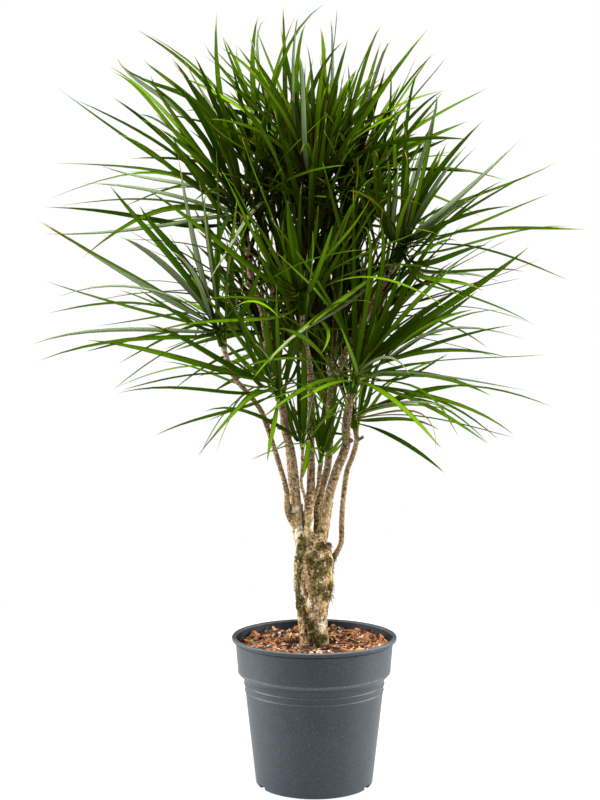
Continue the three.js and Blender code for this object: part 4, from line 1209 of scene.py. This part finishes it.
        (335, 316, 308, 282, 275, 251, -160, 5, 0.8), (370, 345, 390, 300, 400, 262, -80, 9, 0.2),
        (350, 350, 340, 315, 332, 285, -60, 7, 0.25)],
    "right_low": [
        (385, 403, 425, 391, 476, 384, -60, 8, 0.4), (372, 420, 405, 419, 441, 431, -60, 6, 0.45),
        (385, 407, 420, 405, 458, 412, -30, 4, 0.45),
        (382, 405, 420, 402, 457, 410, -10, 4, SILVERY),
        (366, 405, 372, 385, 380, 365, -40, 7, 0.25), (370, 408, 382, 392, 400, 378, -20, 6, 0.3),
        (388, 412, 422, 414, 436, 452, -60, 3, WITHERED)],
    "front": [
        (304, 298, 295, 273, 286, 250, -140, 8.5, 0.8),
        (290, 285, 283, 250, 284, 216, -130, 8.5, 0.9),
        (300, 275, 293, 230, 281, 185, -120, 8.5, 0.6),
        (303, 275, 312, 235, 341, 197, -140, 4, 0.7), (275, 272, 248, 222, 221, 168, -130, 6, 0.5),
        (272, 262, 250, 216, 228, 178, -130, 4.5, 0.65),
        (262, 275, 205, 231, 147, 189, -140, 8, 0.35),
        (277, 287, 245, 273, 209, 265, -150, 6, 0.7), (272, 300, 235, 297, 195, 303, -140, 4, 0.6),
        (270, 318, 215, 321, 147, 334, -150, 5.5, 0.6),
        (325, 258, 347, 233, 371, 197, -150, 5, 0.75),
        (340, 265, 385, 245, 432, 225, -150, 4, 0.75),
        (345, 255, 365, 222, 387, 197, -130, 4, 0.65),
        (335, 250, 352, 205, 376, 176, -110, 3.5, 0.5),
        (308, 270, 315, 235, 318, 205, -90, 7, 0.4), (297, 270, 290, 235, 288, 200, -90, 7, 0.3),
        (312, 285, 325, 250, 333, 225, -110, 8, 0.35),
        (318, 290, 335, 262, 352, 235, -100, 7, 0.4),
        (325, 325, 328, 340, 320, 356, -130, 6, 0.75),
        (285, 295, 268, 272, 256, 245, -100, 7, 0.3)],
    "back": [
        (352, 290, 355, 235, 355, 185, -20, 6, 0.45), (318, 320, 325, 280, 328, 240, 40, 8, 0.25),
        (330, 325, 345, 285, 360, 255, 20, 8, 0.3), (308, 320, 300, 285, 296, 255, 30, 8, 0.2)],
    "low_centre": [
        (309, 444, 306, 462, 303, 478, -90, 8.5, 1), (304, 415, 304, 375, 303, 325, -50, 12, 0.35),
        (300, 415, 299, 380, 296, 345, -20, 8, 0.15), (282, 428, 245, 411, 203, 412, -70, 6, 0.3),
        (299, 426, 291, 417, 281, 415, -90, 5, SILVERY),
        (296, 438, 289, 415, 283, 385, -50, 7, 0.15),
        (308, 425, 311, 408, 316, 388, -60, 4.5, 0.6), (298, 428, 292, 408, 287, 390, -60, 5, 0.2)],
    "low_right": [
        (321, 440, 318, 415, 313, 385, -30, 6, 0.3), (324, 445, 330, 420, 341, 385, -40, 7, 0.25),
        (327, 448, 337, 425, 345, 395, -20, 6, 0.35), (330, 452, 338, 443, 352, 428, -50, 5, 0.6),
        (329, 455, 336, 450, 346, 440, -60, 5, 0.65), (319, 445, 316, 425, 309, 400, -30, 6, 0.2),
        (322, 440, 324, 410, 327, 375, 0, 6, 0.3), (325, 440, 333, 405, 338, 370, 10, 7, 0.2)],
}
# Then fillers by the same rule as the solids, narrower and freer, and sleeves of leaves lower on
# the stems, which are older than the ones of the head above them.
MORE_LEAVES = {"upper_centre": 34, "back_centre": 34, "back_upper_left": 20, "back": 16}
# Each sleeve has the shares of the stem's length between which it grows, its number of leaves and
# how low the oldest point.
SLEEVES = [
    ("upper_left", 0.86, 0.99, 12, 0.7), ("upper_centre", 0.74, 0.98, 26, 0.86),
    ("back_centre", 0.76, 0.98, 26, 0.86), ("upper_right", 0.70, 0.97, 6, 0.8),
    ("back_upper_left", 0.55, 0.97, 20, 0.8), ("front", 0.5, 0.97, 4, 0.8),
    ("back_left", 0.6, 0.97, 6, 0.6), ("back_right", 0.6, 0.97, 6, 0.6),
    ("back", 0.5, 0.97, 16, 0.75), ("upper_centre", 0.46, 0.62, 22, 0.88),
    ("back_centre", 0.48, 0.66, 22, 0.88), ("upper_right", 0.2, 0.5, 10, 0.85),
    ("right", 0.9, 0.99, 6, 0.6), ("low_right", 0.86, 1.0, 9, 0.92),
    ("low_centre", 0.9, 1.0, 6, 0.92), ("left_front", 0.94, 1.0, 8, 0.92),
    ("right_low", 0.93, 1.0, 8, 0.92), ("far_left", 0.95, 1.0, 5, 0.9),
    ("back", 0.1, 0.97, 34, 0.85), ("back_centre", 0.66, 0.9, 30, 0.85),
    ("back_left", 0.3, 0.97, 12, 0.85), ("back_right", 0.3, 0.97, 20, 0.85),
    ("back_upper_left", 0.2, 0.97, 24, 0.8),
]
FILLER_WIDTH = 0.74
HEAD_SEED, SLEEVE_SEED, LOOK_SEED = 900, 3000, 7000
# These heads have slimmer leaves, with light or darkness between them.
SLIM_HEADS = {"far_left", "left_front", "right", "right_low", "upper_right", "front",
              "upper_left", "back_upper_left", "back_centre", "back_left", "back_right"}
TWIN_GAP, SLIM_TWIN_GAP = 34, 60
CROWN_LOW = tuple(v * 1000 + 4 for v in cad_low)
CROWN_HIGH = tuple(v * 1000 - 4 for v in cad_high)
# Where the photograph was taken from, how far down it looks, and its size in pixels.
CAMERA_X, CAMERA_BACK, CAMERA_Z = -20.8, 2050, 660
CAMERA_DIP = 2.84
FOCAL_PIXELS, PHOTO_WIDTH, PHOTO_HEIGHT = 1420, 600, 800


def inside_crown(base, tip):
    """A tip drawn back towards its head until it is within the crown's box."""
    share = 1.0
    for b, t, low, high in zip(base, tip, CROWN_LOW, CROWN_HIGH):
        if t < low:
            share = min(share, (b - low) / (b - t))
        if t > high:
            share = min(share, (high - b) / (t - b))
    return tuple(mix(b, t, share) for b, t in zip(base, tip))


def seen_at(px, py, depth):
    """The spot that the photograph shows at a pixel, for a depth behind the pot's axis."""
    away = depth + CAMERA_BACK
    dip = math.atan((py - PHOTO_HEIGHT / 2) / FOCAL_PIXELS) + math.radians(CAMERA_DIP)
    x = CAMERA_X + (px - PHOTO_WIDTH / 2) * away / FOCAL_PIXELS
    return (x, depth, CAMERA_Z - away * math.tan(dip))


def seen_leaf(head, reading):
    """A leaf through three spots of the photograph, with the right face turned to the viewer."""
    x1, y1, x2, y2, x3, y3, depth, width, tone = reading
    start = head["base"][1]
    # A leaf of the solids that ends at the same spot is this one: it takes the reading's curve.
    nearest = SLIM_TWIN_GAP if head["name"] in SLIM_HEADS else TWIN_GAP
    for twin in head["leaves"]:
        x, y, z = twin["line"][3]
        if gap_between((x, y, z), seen_at(x3, y3, y)) < nearest:
            depth = y
            head["leaves"].remove(twin)
            break
    first = seen_at(x1, y1, mix(start, depth, 1 / 3))
    second = seen_at(x2, y2, mix(start, depth, 2 / 3))
    tip = inside_crown(head["base"], seen_at(x3, y3, depth))
    leaf = shape_leaf(head, tip, 0, 0, width, mix(-0.3, 0.3, head["draw"]()))
    root = leaf["line"][0]
    # The handles that bring the curve through both spots.
    spots = list(zip(root, first, second, tip))
    near = tuple((-5 * a + 18 * b - 9 * c + 2 * d) / 6 for a, b, c, d in spots)
    far = tuple((2 * a - 9 * b + 18 * c - 5 * d) / 6 for a, b, c, d in spots)
    leaf["line"] = (root, near, far, tip)
    ahead = unit(plus(second, first, -1))
    side = unit(cross(ahead, (0, -1, 0) if tone == SILVERY else (0, 1, 0)))
    leaf["side"] = turned_about(side, ahead, mix(-0.5, 0.5, head["draw"]()))
    leaf["tone"] = tone
    return leaf


def add_more(head, order, fill, shorten):
    """A filler leaf, which turns over on its way to the tip, to either hand."""
    leaf = spiral_leaf(head, order, fill, 0.35, shorten)
    root, near, far, tip = leaf["line"]
    leaf["line"] = (root, near, far, inside_crown(head["base"], tip))
    leaf["width"] *= FILLER_WIDTH
    draw = head["draw"]
    leaf["twist"] = mix(0.4, 2.4, draw()) * (1 if draw() < 0.5 else -1)
    return leaf


for number, head in enumerate(heads):
    draw = draws_from(HEAD_SEED + number * 53)
    head["draw"] = draw
    for reading in SEEN_LEAVES.get(head["name"], []):
        head["more"].append(seen_leaf(head, reading))
    upright = dict(head, lowest=head["lowest"] + 0.55, first_turn=head["first_turn"] + 1.1)
    extra = MORE_LEAVES.get(head["name"], 0)
    for order in range(extra):
        head["more"].append(add_more(upright, order, extra, mix(0.7, 1.06, draw())))
for number, (name, low, high, count, lowest) in enumerate(SLEEVES):
    head = next(head for head in heads if head["name"] == name)
    radii, points = STEMS[name]
    line = StemLine(points)
    draw = draws_from(SLEEVE_SEED + number * 71)
    for order in range(count):
        t = line.share_at(mix(low, high, (order + 0.5) / count))
        ring = dict(head, base=line.point(t), axis=line.heading(t), core_height=4,
                    core_radius=radii[2], draw=draw, lowest=lowest, first_turn=number * 1.9)
        leaf = add_more(ring, order * 0.75, count, mix(0.7, 1.0, draw()))
        # The sleeves grow inside the crown, and their tones are kept low: painted shade.
        leaf["tone"] = 0.8 * draw() ** 1.5
        head["more"].append(leaf)

leaf_finish, tree, shader = new_finish("dark_glossy_leaf", 0.32)
shader.inputs["Specular IOR Level"].default_value = 0.01
shader.inputs["Specular Tint"].default_value = (1.0, 1.0, 0.25, 1)
# Two colours on each corner: how far inward, how far along and whether below; how bright, which
# is the leaf's own tone together with painted light and shade, how dry, and the leaf's lot, which
# sets its stripes and, at 1, makes it silvery, with a painted sheen.
paint = add_node(tree, "ShaderNodeSeparateColor", {"Color": attribute(tree, "paint", "Color")})
look = add_node(tree, "ShaderNodeSeparateColor", {"Color": attribute(tree, "look", "Color")})
inward, along, below = (paint.outputs[key] for key in ("Red", "Green", "Blue"))
bright, dry, lot = (look.outputs[key] for key in ("Red", "Green", "Blue"))


def crown_shade(tree):
    """Painted shade: 1 in the middle of the crown, where the outer leaves shade the inner ones, and
    0 at its outside.
    """
    middle = (0.01, 0.12, 0.79)
    size = (0.26, 0.24, 0.29)
    away = own_place(tree)
    for operation, by in (("SUBTRACT", middle), ("DIVIDE", size), ("LENGTH", middle)):
        node = add_node(tree, "ShaderNodeVectorMath", {0: away}, operation=operation)
        node.inputs[1].default_value = by
        away = node.outputs["Value" if operation == "LENGTH" else "Vector"]
    return step_mask(tree, away, 1.0, 0.45)


stripes = add_node(tree, "ShaderNodeVectorMath", {
    0: add_node(tree, "ShaderNodeCombineXYZ", {"X": inward, "Z": lot}).outputs["Vector"]},
    operation="MULTIPLY")
stripes.inputs[1].default_value = (9, 1, 40)
veins = mottle(tree, 1, 3, 0.3, 0.7, stripes.outputs["Vector"])
# The dark greens stand for shaded leaves and the light greens for lit ones, as well as for the
# leaves' own range of tone: painted light and shade.
dark = blend_colours(tree, veins, (0.002, 0.018, 0.0001), (0.012, 0.075, 0.0002))
light = blend_colours(tree, veins, (0.080, 0.200, 0.0008), (0.110, 0.240, 0.003))
upper = blend_colours(tree, bright, dark, light)
dark = blend_colours(tree, veins, (0.007, 0.030, 0.0002), (0.020, 0.080, 0.0004))
light = blend_colours(tree, veins, (0.080, 0.180, 0.002), (0.120, 0.245, 0.006))
lower = blend_colours(tree, bright, dark, light)
# The silvery underside: its own grey-green with a painted sheen, paler as if its gloss caught the
# light.
silver = blend_colours(tree, veins, (0.13, 0.19, 0.085), (0.21, 0.29, 0.15))
lower = blend_colours(tree, step_mask(tree, lot, 0.95, 0.96), lower, silver)
colour = blend_colours(tree, below, upper, lower)
height = add_node(tree, "ShaderNodeSeparateXYZ", {"Vector": own_place(tree)}).outputs["Z"]
# Painted shade: in the upper crown each leaf is darkened towards its root, where the leaves around
# it shade it.
painted_root_shade = both_masks(tree, step_mask(tree, along, 0.60, 0.05),
                       step_mask(tree, height, 0.44, 0.68))
colour = blend_colours(tree, painted_root_shade, colour, (0.20, 0.28, 0.20), "MULTIPLY")
# Painted shade: the leaves in the middle of the crown are darkened.
colour = blend_colours(tree, crown_shade(tree), colour, (0.17, 0.24, 0.17), "MULTIPLY")
pale_root = both_masks(tree, step_mask(tree, along, 0.12, 0.0),
                       step_mask(tree, height, 0.66, 0.58))
colour = blend_colours(tree, pale_root, colour, (0.30, 0.40, 0.06))
margin = step_mask(tree, inward, 0.31, 0.17)
colour = blend_colours(tree, margin, colour, (0.045, 0.016, 0.004))
reach = add_node(tree, "ShaderNodeMath", {0: along, 1: dry}, operation="ADD").outputs["Value"]
dry_tip = step_mask(tree, reach, 0.985, 1.02)
set_colour(tree, shader, blend_colours(tree, dry_tip, colour, (0.13, 0.085, 0.012)))
add_bump(tree, shader, veins, 0.12, 0.0005)

LEAF_ROWS = 12


def leaf_shape():
    """The template of a leaf: a four-cornered sleeve along Z, closed at its root, with a point."""
    bm = bmesh.new()
    add_rowed_cone(bm, 4, LEAF_ROWS)
    ends = [v for v in bm.verts if v.co.z > 0.999]
    bmesh.ops.pointmerge(bm, verts=ends, merge_co=(0, 0, 1))
    layer = bm.loops.layers.float_color.new("paint")
    bm.loops.layers.float_color.new("look")
    for edge in bm.edges:
        if all(abs(v.co.x) > 0.5 for v in edge.verts):
            edge.smooth = False
    for face in bm.faces:
        face.smooth = True
        below = 1.0 if face.calc_center_median().y < 0 else 0.0
        for loop in face.loops:
            loop[layer] = (1.0 if abs(loop.vert.co.x) < 0.5 else 0.0, loop.vert.co.z, below, 1)
    return keep_template(bm, "leaf_template")


def sleeve_width(t):
    """The visible leaf keeps more of its width where it clasps the stem and towards its point."""
    point = 0 if t < 0.4 else 1 - ((t - 0.4) / 0.6) ** 2.3
    return max(width_share(t), 0.62 * (1 - t * 2.2), point)


def add_leaf(bm, shape, leaf, look, layer):
    """Moves a copy of the template onto a leaf's sections."""
    verts, faces = add_copy(bm, shape)
    sections = {}
    for vert in verts:
        row = round(vert.co.z * LEAF_ROWS)
        if row not in sections:
            t = row / LEAF_ROWS
            p, side, down, _ = section_at(leaf, t)
            half = leaf["width"] * sleeve_width(t) / 2
            sections[row] = (p, side, down, half, half * mix(0.42, 0.10, t), mix(1.1, 0.45, t))
        p, side, down, half, fold, thick = sections[row]
        if abs(vert.co.x) > 0.5:
            made = plus(p, side, half * (1 if vert.co.x > 0 else -1))
        elif vert.co.y > 0.5:
            made = plus(p, down, fold)
        elif vert.co.y < -0.5:
            made = plus(p, down, fold + thick)
        else:
            made = p
        vert.co = tuple(x * 0.001 for x in made)
    paint_faces(faces, layer, look)


def add_core(bm, head, paint_layer, look_layer):
    """The short tip of the stem, which the leaves clasp."""
    tip_z = Vector(head["axis"]).to_track_quat("Z", "Y").to_matrix().to_4x4()
    place = Matrix.Translation(Vector(head["base"]) * 0.001) @ tip_z
    height = head["core_height"] * 0.001
    reach = head["core_radius"] * (0.00062 if head["size"] < 1 else 0.001)
    first_face = len(bm.faces)
    bmesh.ops.create_cone(bm, cap_ends=True, segments=16, radius1=reach, radius2=reach * 0.45,
                          depth=height,
                          matrix=place @ Matrix.Translation((0, 0, height / 2 + 0.0003)))
    bm.faces.ensure_lookup_table()
    paint_faces(bm.faces[first_face:], paint_layer, (1, 0.13, 0))
    paint_faces(bm.faces[first_face:], look_layer, (0.3, 0, 0.5))


shape = leaf_shape()
for head in heads:
    bm = bmesh.new()
    paint_layer = bm.loops.layers.float_color.new("paint")
    look_layer = bm.loops.layers.float_color.new("look")
    draw = draws_from(LOOK_SEED + head["bit"])
    slimmest, widest = (0.34, 0.58) if head["name"] in SLIM_HEADS else (0.5, 0.78)
    for leaf in head["leaves"]:
        leaf["width"] *= mix(slimmest, widest, draw())
        leaf["twist"] += math.copysign(0.8, leaf["twist"])
    for leaf in head["leaves"] + head["more"]:
        tone = leaf.get("tone", draw() ** 1.35)
        dry = 1.0 if tone == WITHERED else 0.015 + 0.10 * draw() ** 2
        lot = 1.0 if tone == SILVERY else 0.97 * draw()
        add_leaf(bm, shape, leaf, (min(tone, 1), dry, lot), look_layer)
    add_core(bm, head, paint_layer, look_layer)
    piece = keep_mesh(bm, "leaves_" + head["name"], leaf_finish)
    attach(piece, "root")
    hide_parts("leaf_head_" + head["name"])

# ---- studio ----
# A round pale floor that fades into a white room, and four softboxes: a strong one overhead, a
# weak one above and behind the camera, and one low on each side, to light the pot's edges.

floor_finish, tree, shader = new_finish("white_floor", 0.9)
shader.inputs["Base Color"].default_value = (0.15, 0.15, 0.15, 1)
shader.inputs["Emission Color"].default_value = (1, 1, 1, 1)
shader.inputs["Emission Strength"].default_value = 0.84
bm = bmesh.new()
bmesh.ops.create_circle(bm, cap_ends=True, segments=64, radius=1.5,
                        matrix=Matrix.Translation((0, 0, -0.0006)))
floor = keep_mesh(bm, "studio_floor", floor_finish)
floor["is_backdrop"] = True

# The room is seen white, but lights the plant only a little, so that its middle stays dark.
world = bpy.data.worlds.new("white_room")
world.use_nodes = True
tree = world.node_tree
seen = tree.nodes["Background"]
seen.inputs["Color"].default_value = (1, 1, 1, 1)
seen.inputs["Strength"].default_value = 1.0
felt_light = add_node(tree, "ShaderNodeBackground", Strength=0.02, Color=(1, 1, 1, 1))
path = add_node(tree, "ShaderNodeLightPath")
either = add_node(tree, "ShaderNodeMixShader", {
    "Fac": path.outputs["Is Camera Ray"], 1: felt_light.outputs[0], 2: seen.outputs[0]})
tree.links.new(either.outputs[0], tree.nodes["World Output"].inputs["Surface"])
bpy.context.scene.world = world


def add_softbox(name, place, aim, size, power):
    """A rectangular lamp of a faintly warm white, turned to a spot."""
    lamp = bpy.data.lights.new(name, "AREA")
    lamp.shape = "RECTANGLE"
    lamp.size, lamp.size_y = size
    lamp.energy = power
    lamp.color = (1.0, 0.975, 0.94)
    holder = bpy.data.objects.new(name, lamp)
    holder.location = place
    holder.rotation_euler = (Vector(aim) - Vector(place)).to_track_quat("-Z", "Y").to_euler()
    bpy.context.scene.collection.objects.link(holder)


add_softbox("softbox_overhead", (0.1, -0.5, 4.4), (0, 0, 0.6), (1.8, 1.3), 660)
add_softbox("softbox_front", (-0.4, -3.2, 2.6), (0, 0, 0.75), (1.8, 1.4), 52)
add_softbox("softbox_left", (-2.2, 0.1, 0.8), (0, 0, 0.4), (1.0, 1.6), 105)
add_softbox("softbox_right", (2.2, 0.1, 0.8), (0, 0, 0.4), (1.0, 1.6), 105)

lens = bpy.data.cameras.new("portrait_camera")
lens.sensor_width = 36
lens.lens = FOCAL_PIXELS / PHOTO_HEIGHT * lens.sensor_width
camera = bpy.data.objects.new("portrait_camera", lens)
camera.location = (CAMERA_X / 1000, -CAMERA_BACK / 1000, CAMERA_Z / 1000)
camera.rotation_euler = (math.radians(90 - CAMERA_DIP), 0, 0)
bpy.context.scene.collection.objects.link(camera)
bpy.context.scene.camera = camera
bpy.context.scene.view_settings.view_transform = "Standard"

low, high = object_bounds()
